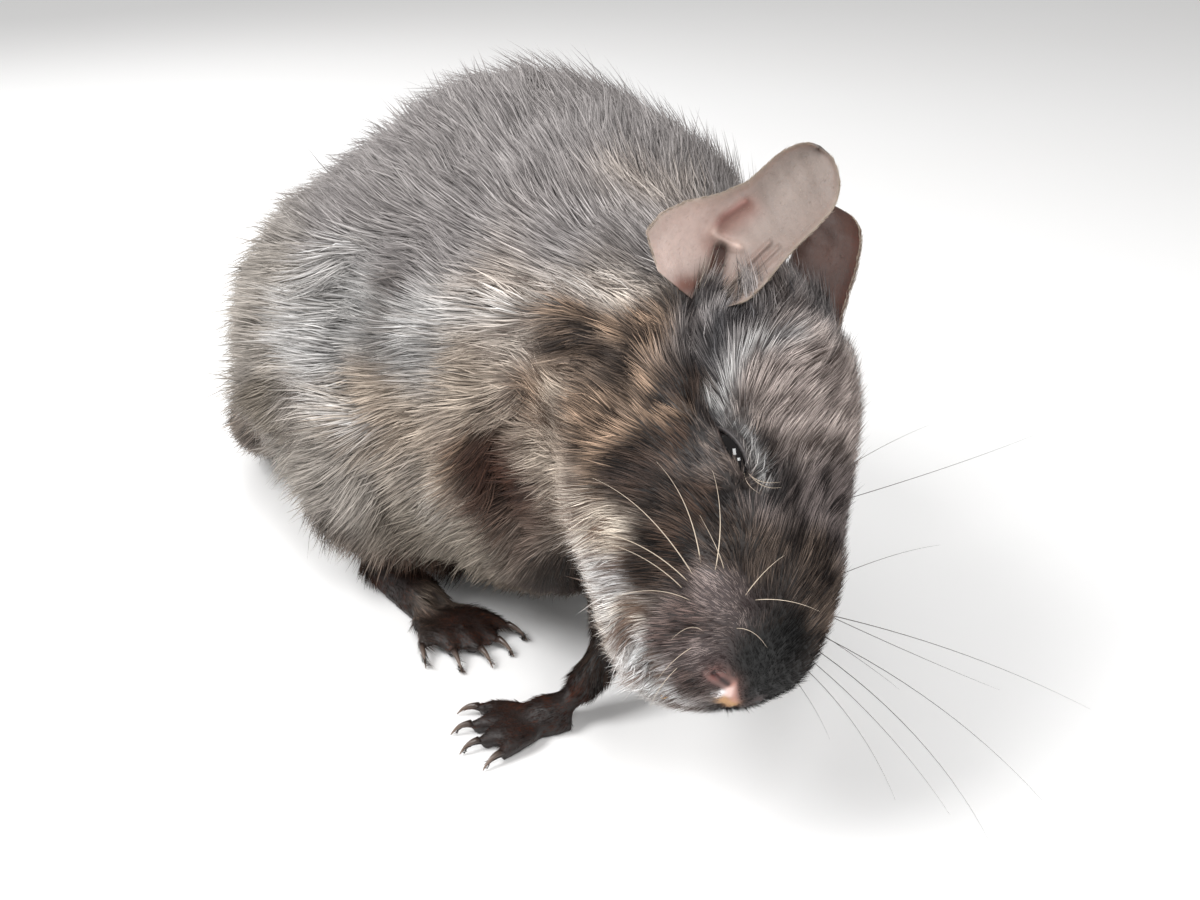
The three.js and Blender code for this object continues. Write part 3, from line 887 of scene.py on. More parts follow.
HEAD_GUIDES = (
    on_head((-13.8, 10.6, 4.6), (-0.1, 0.8, 0.5), Coat.CROWN, 2.2, 0.8),
    on_head((-15.7, 11, -2.6), (0.2, 0.5, -0.8), Coat.GOLD, 3.8, 1.9),
    on_head((-17.2, 2.5, -7.2), (0.2, 0.4, -0.9), Coat.GOLD, 3.9, 1.9),
    on_head((-17.5, -5.5, -5.2), (0, 0.3, -1), Coat.CHEEK, 3.6, 1.6),
    on_head((-14.5, -12, -9.5), (0.4, 0.1, -0.9), Coat.JAW, 3.8, 1.7),
    on_head((-11.3, -20.4, -8.7), (0.5, -0.1, -0.9), Coat.JAW, 3, 1.1),
    on_head((-14.9, -14, -2.4), (-0.2, 0.4, -0.9), Coat.CHEEK, 3.1, 1.3),
    on_head((-15.4, -9.5, 2.7), (-0.4, 0.6, -0.7), Coat.CHEEK, 2.6, 1.0, 1.7),
    on_head((-17, -2.2, 1.7), (-0.3, 0.7, -0.7), Coat.CHEEK, 2.8, 1.2, 1.6),
    on_head((-16.4, 2.3, 4.1), (-0.1, 0.9, -0.4), Coat.CHEEK, 3, 1.3, 1.6),
    on_head((-15, 7.2, 6.2), (0.1, 1, -0.1), Coat.CROWN, 3.6, 1.6),
    on_head((-12.9, -21.3, -1.6), (-0.2, 0.1, -1), Coat.SNOUT, 2.0, 0.6, 2.0),
    on_head((-12.3, -22.5, -5), (-0.1, 0.1, -1), Coat.SNOUT, 2.4, 0.7, 1.9),
    on_head((-13.8, -15.8, -5.5), (-0.1, 0.2, -1), Coat.CHEEK, 3.0, 1.0, 1.7),
    on_head((-10.4, -27, -2.8), (-0.2, 0, -1), Coat.SNOUT, 1.8, 0.5, 2.0),
    on_head((-11, -21.5, -9), (-0.35, -0.3, -0.9), Coat.LIP, 3.4, 1.2, 1.6),
    on_head((-10.5, -24.5, -7.5), (-0.3, -0.35, -0.9), Coat.LIP, 3.0, 1.1, 1.7),
    on_head((-12.8, -16, -10.5), (-0.2, -0.1, -1), Coat.LIP, 3.6, 1.3, 1.5),
    on_head((-9, -26.5, -6.5), (0.1, -0.3, -0.9), Coat.LIP, 2.5, 0.8, 1.9),
    on_head((-12.3, -18.6, 2.9), (-0.5, 0.5, -0.7), Coat.PAD, 1.4, 0.4, 2.2),
    on_head((-11.4, -25.4, -0.3), (-0.4, -0.1, -0.9), Coat.PAD, 1.6, 0.45, 2.2),
    on_head((-13, -14.2, 4.7), (-0.5, 0.8, -0.4), Coat.MUZZLE, 2.2, 0.7, 2.0),
    on_head((-10.8, -15.8, 7), (-0.3, 1, 0.1), Coat.MUZZLE, 2.4, 0.8, 1.9),
    # The bridge guides carry the near-black tint, partly painted shade.
    on_head((-5.4, -23.8, 7.5), (-0.2, 0.9, 0.4), Coat.BRIDGE_SHADE, 1.8, 0.6, 2.0),
    on_head((-7.3, -25.7, 4.7), (-0.6, 0.8, 0.2), Coat.BRIDGE_SHADE, 1.2, 0.4, 2.2),
    on_head((-3.5, -29, 3.5), (-0.3, 0.8, 0.4), Coat.BRIDGE_SHADE, 1.2, 0.4, 2.2, both=False),
    on_head((-2.4, -19.6, 10.2), (0, 0.9, 0.4), Coat.MUZZLE, 2.5, 0.8, 1.8),
    on_head((-5, -14.5, 11), (-0.1, 0.9, 0.4), Coat.MUZZLE, 2.6, 0.9, 1.7),
    on_head((-5.7, -9.5, 12.4), (0, 1, 0.3), Coat.BLAZE, 2.8, 1.1, 1.7),
    on_head((-1.2, -11.1, 12.9), (0.6, 0.8, 0.2), Coat.BLAZE, 2.8, 1.1, 1.7),
    on_head((-12, -7.9, 9.3), (-0.1, 1, 0.2), Coat.BLAZE, 2.7, 1.0, 1.8),
    on_head((-9.3, -1.4, 12.2), (0.4, 0.9, 0.3), Coat.FOREHEAD, 3, 1.2, 1.6),
    on_head((-3.6, 1.5, 15), (0.5, 0.8, 0.2), Coat.FOREHEAD, 3.1, 1.2, 1.6),
    on_head((-13, 3.7, 9.6), (0.4, 0.8, 0.4), Coat.FOREHEAD, 3.1, 1.2, 1.6),
    on_head((-8.8, 8.5, 12.9), (0.7, 0.6, 0.4), Coat.FOREHEAD, 3.5, 1.5),
    on_head((-13.2, 9.4, 8.5), (0.5, 0.7, 0.5), Coat.CROWN, 3.6, 1.6),
    on_head((-7.6, 13.6, 11.9), (0.8, 0.6, 0), Coat.CROWN, 3.8, 1.8),
    on_head((0, 16, 13), (0, 1, 0), Coat.CROWN, 4.1, 2.0, both=False),
    on_head((0, -20, -13), (0, 1, -0.1), Coat.JAW, 2.8, 1.1, both=False),
    on_head((0, -8, -18), (0, 1, 0), Coat.JAW, 3.8, 1.8, both=False),
    on_head((-8, 6, -18), (0, 1, -0.2), Coat.JAW, 4.3, 2.0),
    on_head((-14.2, -4.5, 8.6), (0, 0.7, 0.7), Coat.SOCKET, 1.8, 0.6, 2.2),
    on_head((-15.4, -5.5, 4.2), (-0.4, 0.7, -0.5), Coat.SOCKET, 1.5, 0.5, 2.2),
)
LIMB_GUIDES = (
    single((-14, -42, 17), (-0.1, -0.2, -1), Coat.LEG, 3.2, 1.0, 1.4),
    single((-18.5, -45, 9), (-0.5, -0.1, -0.8), Coat.LEG, 2.2, 0.5, 1.6),
    single((-25, -43, 3), (-0.88, 0.42, 0), Coat.FOOT, 1.3, 0.25, 1.9),
    single((-35, -38, 2), (-0.88, 0.42, 0), Coat.FOOT, 0.9, 0.12, 2.2),
    single((13, -36, 16), (-0.1, -0.2, -1), Coat.LEG, 3.2, 1.0, 1.4),
    single((10, -38, 8), (-0.1, -0.3, -0.9), Coat.LEG, 2.2, 0.5, 1.6),
    single((9, -41, 3), (-0.1, -1, 0), Coat.FOOT, 1.3, 0.25, 1.9),
    single((8, -51, 2), (-0.1, -1, 0), Coat.FOOT, 0.9, 0.12, 2.2),
    single((-18, 6, 8), (0, -0.5, -0.8), Coat.LEG, 3, 0.8, 1.4),
    single((-19, -4, 3), (-0.1, -1, 0), Coat.FOOT, 1.6, 0.25, 1.8),
    single((-20, -18, 2.5), (-0.1, -1, 0), Coat.FOOT, 1.2, 0.2, 2.0),
    single((16, 10, 8), (0, -0.5, -0.8), Coat.LEG, 3, 0.8, 1.4),
    single((17, 0, 3), (0.12, -1, 0), Coat.FOOT, 1.6, 0.25, 1.8),
    single((19, -14, 2.5), (0.12, -1, 0), Coat.FOOT, 1.2, 0.2, 2.0),
    single((-19, 37, 18), (0, 0.8, -0.6), Coat.TAIL, 5, 1.7, 1.2),
    single((-13, 44, 13), (0.3, 0.8, -0.5), Coat.TAIL, 4, 1.2, 1.4),
    single((-4, 55, 7), (0.5, 0.7, -0.4), Coat.TAIL, 3.2, 0.8, 1.4),
    single((12, 69, 4), (0.75, 0.65, 0), Coat.TAIL, 3.2, 0.7, 1.4),
    single((28, 80, 4), (0.85, 0.5, 0), Coat.TAIL, 4, 0.6, 1.4),
    single((47, 90, 3), (0.9, 0.4, 0), Coat.BRUSH, 7, 0.8, 1.4),
    single((66, 96, 2), (0.95, 0.3, 0), Coat.BRUSH, 7, 0.8, 1.4),
)
MARKINGS = (
    # Painted highlight along the crest from the flank up to the neck.
    Marking(
        ((-29, -14, 49.5), (-29.5, -25, 54), (-29, -35, 58), (-27.5, -44, 62.5), (-21, -53, 67)),
        2.2, Coat.CREASE,
    ),
    Marking(((-27, -12, 55), (-29.5, -10, 45), (-31, -14, 40)), 2.6, Coat.SHADE, 0.6),
    Marking(((-31, -12, 44), (-30.5, -24, 48), (-30.5, -34, 52)), 2.0, Coat.SHADE, 0.45),
    # Painted highlight along the haunch's curved ridge.
    Marking(
        ((-25.5, -1, 58.5), (-28, 6.5, 51), (-31.5, 3, 43.5), (-33, -2.5, 37), (-31.5, -9.5, 33)),
        1.8, Coat.CREASE, 0.8,
    ),
    Marking(
        ((-29.5, -39, 58), (-28, -45.5, 60.5), (-28, -55.5, 60.5), (-30, -63, 58)),
        1.5, Coat.GOLD, 0.9,
    ),
    Marking(((-29.5, -42, 54.5), (-28.5, -51, 57), (-29, -60, 56.5)), 2.0, Coat.CHEEK, 0.85),
    Marking(((-31, -50, 50), (-31.5, -46, 46)), 2.2, Coat.CHEEK, 0.7),
    Marking(((-21, -48.5, 66.5), (-22.5, -59, 64.5)), 2.6, Coat.SHADE, 0.8),
    Marking(((-31.5, -40.5, 50.5), (-30, -29.5, 41), (-28, -21.5, 26)), 1.3, Coat.GOLD, 0.8),
    # Painted shade along the deep fold between the neck roll and the foreleg.
    Marking(
        ((-31, -40, 47), (-29.5, -32, 39), (-27.5, -31.5, 31.5), (-26, -34, 26), (-25, -30, 20)),
        2.6, Coat.HOLLOW_SHADE, 1.0,
    ),
    # Painted shadow in the dark recess between the thigh and the tail's root.
    Marking(((-33.5, 1, 37.5), (-34, 2.5, 33)), 2.2, Coat.CHEEK, 0.95),
    Marking(((-28.5, -15.5, 27), (-27, -17, 23)), 4.2, Coat.RUMP, 0.9),
    Marking(((-34, -1, 28), (-34, 1.5, 30), (-32.5, 9, 27)), 1.6, Coat.SHADE, 0.7),
    Marking(((-32.5, 13, 33), (-32.5, 17, 28)), 5.0, Coat.LUMP, 0.6),
    Marking(((-10.5, -39.5, 74), (-9.5, -45, 72), (-4, -45, 72)), 3.8, Coat.NECK, 0.75),
    head_mark(
        ((-14.5, 12.5, 3), (-16, 7.5, 4), (-16, 4, 4.5), (-16, 0.5, 5.2)),
        1.1, Coat.PATCH, 0.9,
    ),
    head_mark(
        (
            (-15.9, -1.6, 5.0), (-15.8, 1, 5.6), (-15.4, 3, 6.2), (-15.1, 4.5, 7.0),
            (-13.9, 6.8, 9.0), (-11.5, 8, 11), (-8, 9, 13),
        ),
        1.4, Coat.BROW, 0.9, both=True,
    ),
    head_mark(
        ((-15.8, 5.5, 4.8), (-14.2, 10, 6.2), (-11, 12, 9.8), (-7.5, 14.2, 11.4)),
        1.5, Coat.TUFT, 0.85,
    ),
    head_mark(((-6.2, 15.4, 11.6), (-5.6, 17, 11.4)), 3.4, Coat.FOREHEAD, 0.8),
    head_mark(((-6.2, 15.4, 11.6), (-4.6, 16.8, 11.6)), 1.9, Coat.TUFT, 1.0),
    head_mark(((-14, 13, -12), (-13.5, 11.5, -15.5), (-14.5, 7, -13)), 2.8, Coat.DUSK, 1.0),
    head_mark(((-16, 8, -7.5), (-16.5, 6.5, -6.5), (-17.5, 3, -5.2)), 2.6, Coat.DUSK, 1.0),
    head_mark(((-14, 13, -12), (-14.4, 11, -12.6)), 1.4, Coat.PATCH, 0.9),
    head_mark(((-15.5, 11.5, -5), (-16.5, 8.5, -3)), 1.3, Coat.PATCH, 0.9),
    head_mark(((-17, 1.2, -8.2), (-17.2, 0, -8.8)), 1.4, Coat.PATCH, 0.95),
    head_mark(((-17, 2.5, 1.5),), 1.5, Coat.PATCH, 0.9),
    head_mark(
        ((-16.5, -6, -8), (-17.5, -5.5, -6), (-17.5, -6, -2), (-17, -9, -3.5)),
        1.7, Coat.PATCH, 0.75,
    ),
    head_mark(
        ((-13.5, 15.5, -13.5), (-14.5, 13.5, -9.5), (-15.5, 10.5, -6.5)),
        1.2, Coat.GOLD, 1.0,
    ),
    head_mark(
        ((-16, 10, -2), (-17, 6, -1.5), (-17.5, 1.5, -2), (-17.5, 0, -0.5), (-17, 0, 2.5)),
        1.1, Coat.GOLD, 1.0,
    ),
    head_mark(
        (
            (-14.5, 8, -12.5), (-15.5, 3.5, -12), (-16, -0.5, -11.5),
            (-17, -2.5, -9), (-17.5, -1, -7), (-18, -0.5, -3),
        ),
        1.1, Coat.GOLD, 1.0,
    ),
    head_mark(((-17, -2.5, -9), (-16.5, -5, -10.5), (-16, -7, -10.5)), 1.1, Coat.GOLD, 0.9),
    head_mark(((-13, 4.5, -16.5), (-12.5, 1, -16.5), (-9.5, -1.5, -19)), 3.2, Coat.SHADE, 0.4),
)
GROOM = Groom((*TRUNK_GUIDES, *HEAD_GUIDES, *LIMB_GUIDES), MARKINGS)


# The skin


@dataclass
class Tail:
    """The tail's core, from inside the rump to the tip."""

    line: tuple[Point, ...] = (
        (-14, 34, 20),
        (-13, 41, 15.5),
        (-8, 50, 9),
        (0, 59, 4.8),
        (12, 69, 3.4),
        (28, 80, 3.0),
        (47, 90, 2.6),
        (67, 95.8, 2.0),
    )
    radii: tuple[float, ...] = (6.2, 5.8, 5.0, 4.2, 3.4, 3.0, 2.5, 1.6)
    steps: int = 60

    def path(self) -> tuple[Array, Array]:
        """Returns the smoothed line and the radius at each of its places."""
        at = np.linspace(0, len(self.line) - 1, self.steps)
        whole = np.arange(len(self.line))
        path = np.stack([np.interp(at, whole, [p[i] for p in self.line]) for i in range(3)], 1)
        for _ in range(12):
            path[1:-1] = (path[:-2] + path[2:] + 2 * path[1:-1]) / 4
        return path, np.interp(at, whole, self.radii)

    def build(self) -> bpy.types.Object:
        """Returns the tail as a closed tube with a round end."""
        path, radii = self.path()
        end = np.clip(np.linalg.norm(path - path[-1], axis=1) / radii[-1], 0, 1)
        radii = radii * np.sqrt(np.clip(1.06 - (1 - end) ** 2, 0.05, 1))
        return mesh_piece("tail_core", *tubes(path[None], radii[None], 24))


@dataclass(frozen=True)
class Fold:
    """A crease or a ridge along a line on the skin: `depth` above zero is pressed in."""

    line: tuple[Point, ...]
    width: float
    depth: float
    on_head: bool = False
    both: bool = False

    def press(self, points: Array) -> Array:
        """Returns how far each place is pressed in."""
        total = np.zeros(len(points))
        for line in Marking(self.line, self.width, Coat.BACK, 1.0, self.on_head, self.both).lines():
            total += self.depth * bell(line_gap(points, line), self.width)
        return total


@dataclass(frozen=True)
class Eyelid:
    """The lids round one eye, nearly closed: a slit over the ball, a thick rim and creases."""

    side: str
    half: float = 2.9
    gape: float = 0.58
    rim: float = 0.42

    def axes(self) -> tuple[Array, Array]:
        """Returns the eye's middle and, as rows, the ways outwards, along and over the slit."""
        hand = -1.0 if self.side == "right" else 1.0
        outwards = unit(np.array([hand * 0.901, 0.0, 0.433]))
        along = np.array([0.0, 0.883, -0.469])
        along = unit(along - outwards * along.dot(outwards))
        over = np.cross(along, outwards)
        over = over if over[2] > 0 else -over
        return SKULL.out(EYE_PLACES[self.side]), SKULL.turn([outwards, along, over])

    def measure(self, points: Array) -> tuple[Array, Array, Array]:
        """Measures places round the eye.

        Args:
            points: places in the animal's own measure.

        Returns:
            How far each is from the slit's edge (below zero inside it), which lid it is on
            (1 for the upper) and how far it is from the eye's middle. Places behind the eye
            are given as far away.
        """
        centre, axes = self.axes()
        local = (points - centre) @ axes.T
        reach = np.linalg.norm(local, axis=1)
        along, over = (local[:, i] * EYE_RADIUS / np.maximum(reach, 1e-6) for i in (1, 2))
        open_half = self.gape * np.clip(1 - (along / self.half) ** 2, 0, None)
        past = np.clip(np.abs(along) - self.half, 0, None)
        edge = np.where(past > 0, np.hypot(past, over), np.abs(over) - open_half)
        edge = np.where((local[:, 0] > 0) & (reach < 9), edge, 99.0)
        return edge, np.sign(over), reach

    def shape(self, points: Array) -> Array:
        """Forms the lids.

        Args:
            points: places in the animal's own measure.

        Returns:
            The places with the lids formed.
        """
        edge, lid, reach = self.measure(points)
        centre, _ = self.axes()
        upper = lid > 0
        target = EYE_RADIUS - 0.6 + (0.6 + self.rim) * ramp(-0.1, 0.08, edge)
        target += 0.08 * bell(edge - 0.14, 0.1)
        target -= np.where(upper, 0.3, 0.2) * bell(edge - np.where(upper, 1.2, 1.0), 0.25)
        target += np.where(upper, 0.35, 0.15) * bell(edge - 1.9, 0.5)
        keep = np.maximum(ramp(1.5, 3.6, edge), ramp(5.0, 7.2, reach) * ramp(0.2, 0.9, edge))
        new_reach = np.where(edge < 90, target * (1 - keep) + reach * keep, reach)
        return centre + (points - centre) * (new_reach / np.maximum(reach, 1e-6))[:, None]

    def tint(self, points: Array, groom: dict[str, Array]) -> None:
        """Lays the pale hair of the upper rim and the dark hair of the lower one over the groom."""
        edge, lid, reach = self.measure(points)
        for side, width, coat in ((1, 0.6, Coat.LID), (-1, 0.8, Coat.SOCKET)):
            share = 0.95 * bell(edge - 0.6, width) * (lid == side) * ramp(6.2, 5.2, reach)
            share = share[:, None]
            row = coat.value.row()
            groom["dark"] = groom["dark"] + share * (row[0:3] - groom["dark"])
            groom["light"] = groom["light"] + share * (row[3:6] - groom["light"])

    def comb(self, points: Array, lie: Array) -> Array:
        """Returns the lie of the hair turned away from the slit close to it."""
        edge, lid, _ = self.measure(points)
        centre, axes = self.axes()
        along = np.abs((points - centre) @ axes[1])
        share = 0.35 * lid * bell(edge, 1.0) * ramp(self.half, self.half - 1.2, along)
        return lie + share[:, None] * axes[2]


EYELIDS = (Eyelid("right"), Eyelid("left"))


@dataclass(frozen=True)
class Nose:
    """The bare nose: two slit nostrils, the strip between them and the cleft to the mouth."""

    nostril_right: tuple[Point, ...] = ((-9.8, -26.6, 0.3), (-9.0, -27.4, 1.0), (-8.3, -27.8, 1.3))
    nostril_left: tuple[Point, ...] = ((-3.0, -29.9, 2.4), (-2.4, -29.4, 1.0))
    strip: tuple[Point, ...] = ((-7.9, -28.2, 1.6), (-6.2, -29.2, 0.8), (-4.6, -30.0, 0.2))
    cleft: tuple[Point, ...] = ((-4.7, -30.0, -0.6), (-4.3, -29.4, -3.2))
    lips: tuple[Point, ...] = (
        (-12, -21, -8.5),
        (-10, -25, -7.0),
        (-7, -27.8, -5.2),
        (-4.3, -28.8, -3.8),
        (-1.4, -27.8, -5.6),
        (1.8, -25, -7.6),
        (4, -21, -9),
    )

    def folds(self) -> tuple[Fold, ...]:
        """Returns the forms of the nose and the mouth."""
        return (
            Fold((*self.nostril_right, *self.strip), 2.2, -0.3, True),
            Fold(self.nostril_right, 1.0, -0.55, True),
            Fold(self.nostril_right, 0.3, 0.8, True),
            Fold(self.nostril_left, 1.0, -0.5, True),
            Fold(self.nostril_left, 0.34, 1.0, True),
            Fold(self.strip, 0.5, -0.5, True),
            Fold(self.cleft, 0.32, 0.8, True),
            Fold(self.lips, 0.5, 1.1, True),
            Fold(tuple((x * 1.02, y - 0.2, z + 1.3) for x, y, z in self.lips), 0.9, -0.35, True),
        )

    def bare(self, points: Array) -> Array:
        """Returns how far places are from the bare skin, below zero on it."""
        places = SKULL.into(points)
        gap = line_gap(places, np.array((*self.nostril_right, *self.strip))) - 0.7
        gap = np.minimum(gap, line_gap(places, np.array(self.nostril_left)) - 0.55)
        gap = np.minimum(gap, line_gap(places, np.array(self.cleft)) - 0.45)
        return np.minimum(gap, line_gap(places, np.array(self.lips)) - 0.35)

    def colours(self, points: Array, colours: Array) -> Array:
        """Returns the skin's colours with the nose's pinks, painted highlight and painted shade on
        them.
        """
        washes = (
            ((*self.nostril_right, *self.strip), 1.1, (104, 76, 70)),
            (((-9.6, -26.8, 0.4),), 0.8, (118, 76, 71)),
            # Painted shade: the left nostril's surround is darker, on the nose's shaded left side.
            (self.nostril_left, 1.0, (52, 36, 34)),
            (self.strip, 0.55, (176, 128, 116)),
            (((-7.6, -28.5, 1.2), (-6.6, -29.0, 0.5)), 0.5, (218, 186, 178)),
            (((-6.2, -29.3, -0.5), (-4.6, -29.9, -0.1)), 0.8, (178, 136, 92)),
            # Painted highlight: a white wet glint on the nose below the right nostril.
            (((-7.4, -28.8, 0.2), (-7.0, -29.0, -0.6)), 0.5, (236, 230, 230)),
            (self.lips, 0.8, (112, 78, 72)),
            # The nostrils' dark red is their inner skin; their near-black cores are painted shade in
            # the openings.
            (self.nostril_right, 0.34, (58, 22, 20)),
            (self.nostril_right[1:], 0.3, (16, 7, 7)),
            (self.nostril_left, 0.4, (14, 7, 7)),
        )
        return washed(colours, SKULL.into(points), ((*wash, 1.3) for wash in washes))


NOSE = Nose()
HEAD_CREASE = ((-14.5, 12.5, 3), (-16, 7.5, 4), (-16, 4, 4.5), (-16, 1.2, 5.4))
FOLDS = (
    Fold(((-28.5, -33.5, 59), (-27.5, -44, 62), (-24, -48.5, 65.5), (-21.5, -53, 67)), 1.8, 1.2),
    Fold(((-29.5, -39, 58), (-28, -45.5, 60.5), (-27.5, -55.5, 60.5), (-29.5, -63, 58)), 2.2, -1.6),
    Fold(((-29.5, -42, 53), (-28.5, -52, 56), (-29, -60, 55)), 2.0, 1.2),
    Fold(
        ((-31, -40, 47), (-29.5, -32, 39), (-27.5, -31.5, 31.5), (-26, -34, 26), (-25, -30, 20)),
        3.0, 2.6,
    ),
    Fold(((-31.5, -40.5, 50.5), (-30, -29.5, 41), (-28, -21.5, 26)), 2.2, -1.2),
    Fold(
        ((-26, 1, 57.5), (-28.5, 6.5, 51), (-31.5, 3, 43.5), (-33, -2.5, 37), (-31.5, -9.5, 33)),
        2.6, -2.4,
    ),
    Fold(((-24, -10, 59), (-26.5, -4, 55), (-29, -2.5, 48), (-31, -8, 40)), 3.0, 1.3),
    Fold(((-29, -14, 49.5), (-29.5, -25, 54), (-29, -35, 58)), 3.4, -1.6),
    Fold(((-33, 1.5, 40), (-32.5, 7, 44), (-31, 14, 45)), 3.0, 1.6),
    Fold(((-32.5, 11, 33), (-31, 18, 31)), 3.8, -3.0),
    Fold(((-33.5, 1.5, 37), (-34, 2, 31), (-33, 8, 25.5), (-29, 17, 21)), 2.4, 2.8),
    Fold(((-31.5, -9, 31), (-29.5, -12, 24), (-26.5, -12, 16.5)), 2.6, 1.6),
    Fold(HEAD_CREASE, 1.2, 1.1, True, True),
    Fold(
        ((-15.5, 9, 7), (-14.5, 3, 8.5), (-14.2, -1, 9.3), (-12.8, -6.5, 9.8)),
        1.7, -0.6, True, True,
    ),
    Fold(((-16.5, -7, 3), (-17, -2, 2.4), (-16.8, 3, 2.5)), 1.6, -0.4, True, True),
    Fold(((-12.8, -17.8, 2.6), (-11.6, -20, 2.4)), 2.6, -1.5, True),
    Fold(((8, -18.2, 2.4), (6, -22, 1.5)), 2.6, -0.7, True),
    Fold(((-1, -17, 10.5), (-0.5, -22, 8.5), (0, -26, 6)), 4.2, -1.3, True),
    Fold(((-15, -13, 3.4), (-13.4, -14.2, 5.4), (-9, -17, 8.6)), 1.5, 0.5, True),
    Fold(((-16, 8, -7.5), (-17.5, 3.5, -5.5)), 2.6, 0.8, True),
    Fold(((-14, 13, -12), (-14.5, 7, -13)), 2.4, 0.7, True),
    Fold(((-16, 10, -2), (-17.5, 1.5, -2), (-17, 0, 2.5)), 1.5, -0.5, True),
    Fold(
        ((-14.5, 8, -12.5), (-16, -0.5, -11.5), (-17, -2.5, -9), (-18, -0.5, -3)),
        1.6, -0.5, True,
    ),
)


@dataclass
class Skin:
    """The one skin of the body, under the coat."""

    nodes: tuple[str, ...] = (
        "torso",
        "neck",
        "head",
        "foreleg_right",
        "forefoot_right",
        "thigh_right",
        "foreleg_left",
        "forefoot_left",
        "thigh_left",
        "hindfoot_right",
        "hindfoot_left",
        "tail_root",
    )
    voxel: float = 0.64
    swell: float = 0.22
    lid: float = 1.15
    rounds: int = 5
    floor: float = 0.02

    def raw(self) -> bpy.types.Object:
        """Joins the solids of flesh into one closed surface."""
        pieces = []
        for node in self.nodes:
            piece = merged_copy(node)
            Place.write(piece, Place.read(piece) + normals(piece) * self.swell)
            pieces.append(piece)
        for side in EYE_PLACES:
            pieces.append(eye_ball(side, EYE_RADIUS + self.lid, 32, 20))
        pieces.append(Tail().build())
        skin = joined(pieces, "skin")
        apply_modifier(skin, "REMESH", mode="VOXEL", voxel_size=self.voxel * MM)
        return skin

    @staticmethod
    def cover(points: Array) -> Array:
        """Returns how deep the skin lies under the solids: deeper yet where the coat is deep."""
        depth = GROOM.at(points)["depth"]
        extra = 1.8 * ramp(1.4, 2.4, depth)
        return depth + extra

    def draw_in(self, skin: bpy.types.Object) -> None:
        """Draws the skin in by the depth of the coat."""
        Place.write(skin, relaxed(skin, Place.read(skin), 4))
        depth = relaxed(skin, self.cover(Place.read(skin)), 6)
        for _ in range(self.rounds):
            points = Place.read(skin) - normals(skin) * (depth / self.rounds)[:, None]
            Place.write(skin, relaxed(skin, points, 1, 0.4))

    def sculpt(self, skin: bpy.types.Object) -> None:
        """Adds fine mesh round the eyes and the nose, then the folds, lids, nose and lips.

        Args:
            skin: the skin.
        """
        for reach in (1.0, 0.62):
            points = Place.read(skin)
            chosen = NOSE.bare(points) < 1.6 * reach
            for lid in EYELIDS:
                edge, _, _ = lid.measure(points)
                chosen |= edge < 4.2 * reach
            refine(skin, chosen)
        points = Place.read(skin)
        edge = np.minimum(*(lid.measure(points)[0] for lid in EYELIDS))
        refine(skin, edge < 1.0)
        points = Place.read(skin)
        fine = NOSE.bare(points) < 1.5
        Place.write(skin, relaxed(skin, points, 3, np.where(fine, 0.4, 0.0)))
        points, out = Place.read(skin), normals(skin)
        face = points + out * self.cover(points)[:, None]
        press = sum(fold.press(face) for fold in FOLDS)
        press += sum(fold.press(points) for fold in NOSE.folds())
        points = points - out * relaxed(skin, press, 1)[:, None]
        for lid in EYELIDS:
            points = lid.shape(points)
        Place.write(skin, points)

    def build(self) -> bpy.types.Object:
        """Returns the skin, drawn in under the coat, sculpted and painted."""
        skin = self.raw()
        self.draw_in(skin)
        self.sculpt(skin)
        points = Place.read(skin)
        height = np.maximum(points[:, 2], self.floor)
        points[:, 2] = np.where(height < 0.9, height * 0.4, height)
        Place.write(skin, points)
        groom = GROOM.at(points)
        colours = groom["dark"] * 0.7 + groom["light"] * 0.06
        for lid in EYELIDS:
            edge, side, _ = lid.measure(points)
            rim = np.where(side[:, None] > 0, linear(74, 70, 70), linear(62, 50, 46))
            colours += bell(edge - 0.15, 0.4)[:, None] * (rim - colours)
            colours = np.where(edge[:, None] < 0.02, linear(8, 6, 6), colours)
        paint(skin, NOSE.colours(points, colours))
        round_off(skin)
        return skin

    @staticmethod
    def bare(points: Array, out: Array) -> Array:
        """Returns where no hair grows: soles, nose, lips, and the rims and slits of the eyes."""
        found = (points[:, 2] < 1.6) & (out[:, 2] < -0.3)
        found |= NOSE.bare(points) < 0
        for lid in EYELIDS:
            found |= lid.measure(points)[0] < 0.03
        return found


# The coat


@dataclass(frozen=True)
class Tuft:
    """One kind of tuft: how it grows and how its mesh is made.

    `guards` is the share of long guard hairs, `rise` how much steeper it stands than the coat's
    depth asks, `drop` how much of that its outer half keeps and `clump` how many lean together.
    `steps` says of each vertex whether it is at the root (0), the middle (1) or the tip (2), and
    `patch` where it lies in the tuft's patch of the map.
    """

    guards: float
    rise: float
    drop: float
    clump: int
    faces: tuple[tuple[int, int, int], ...]
    steps: tuple[int, ...]
    patch: tuple[tuple[float, float], ...]


ROOT_PATCH = ((-0.5, -0.5), (0.5, -0.5), (0, -0.3))
TIP_PATCH = (0, 0.5)
SPIKE = Tuft(
    guards=0.03,
    rise=1.0,
    drop=1.0,
    clump=16,
    faces=((0, 1, 2), (0, 3, 1), (1, 3, 2), (2, 3, 0)),
    steps=(0, 0, 0, 2),
    patch=(*ROOT_PATCH, TIP_PATCH),
)
BENT = Tuft(
    guards=0.22,
    rise=1.3,
    drop=0.45,
    clump=9,
    faces=(
        *((0, 1, 2), (0, 4, 1), (0, 3, 4), (1, 4, 5), (1, 5, 2)),
        *((2, 5, 3), (2, 3, 0), (3, 6, 4), (4, 6, 5), (5, 6, 3)),
    ),
    steps=(0, 0, 0, 1, 1, 1, 2),
    patch=(*ROOT_PATCH, (-0.4, 0.05), (0.4, 0.05), (0, 0.15), TIP_PATCH),
)


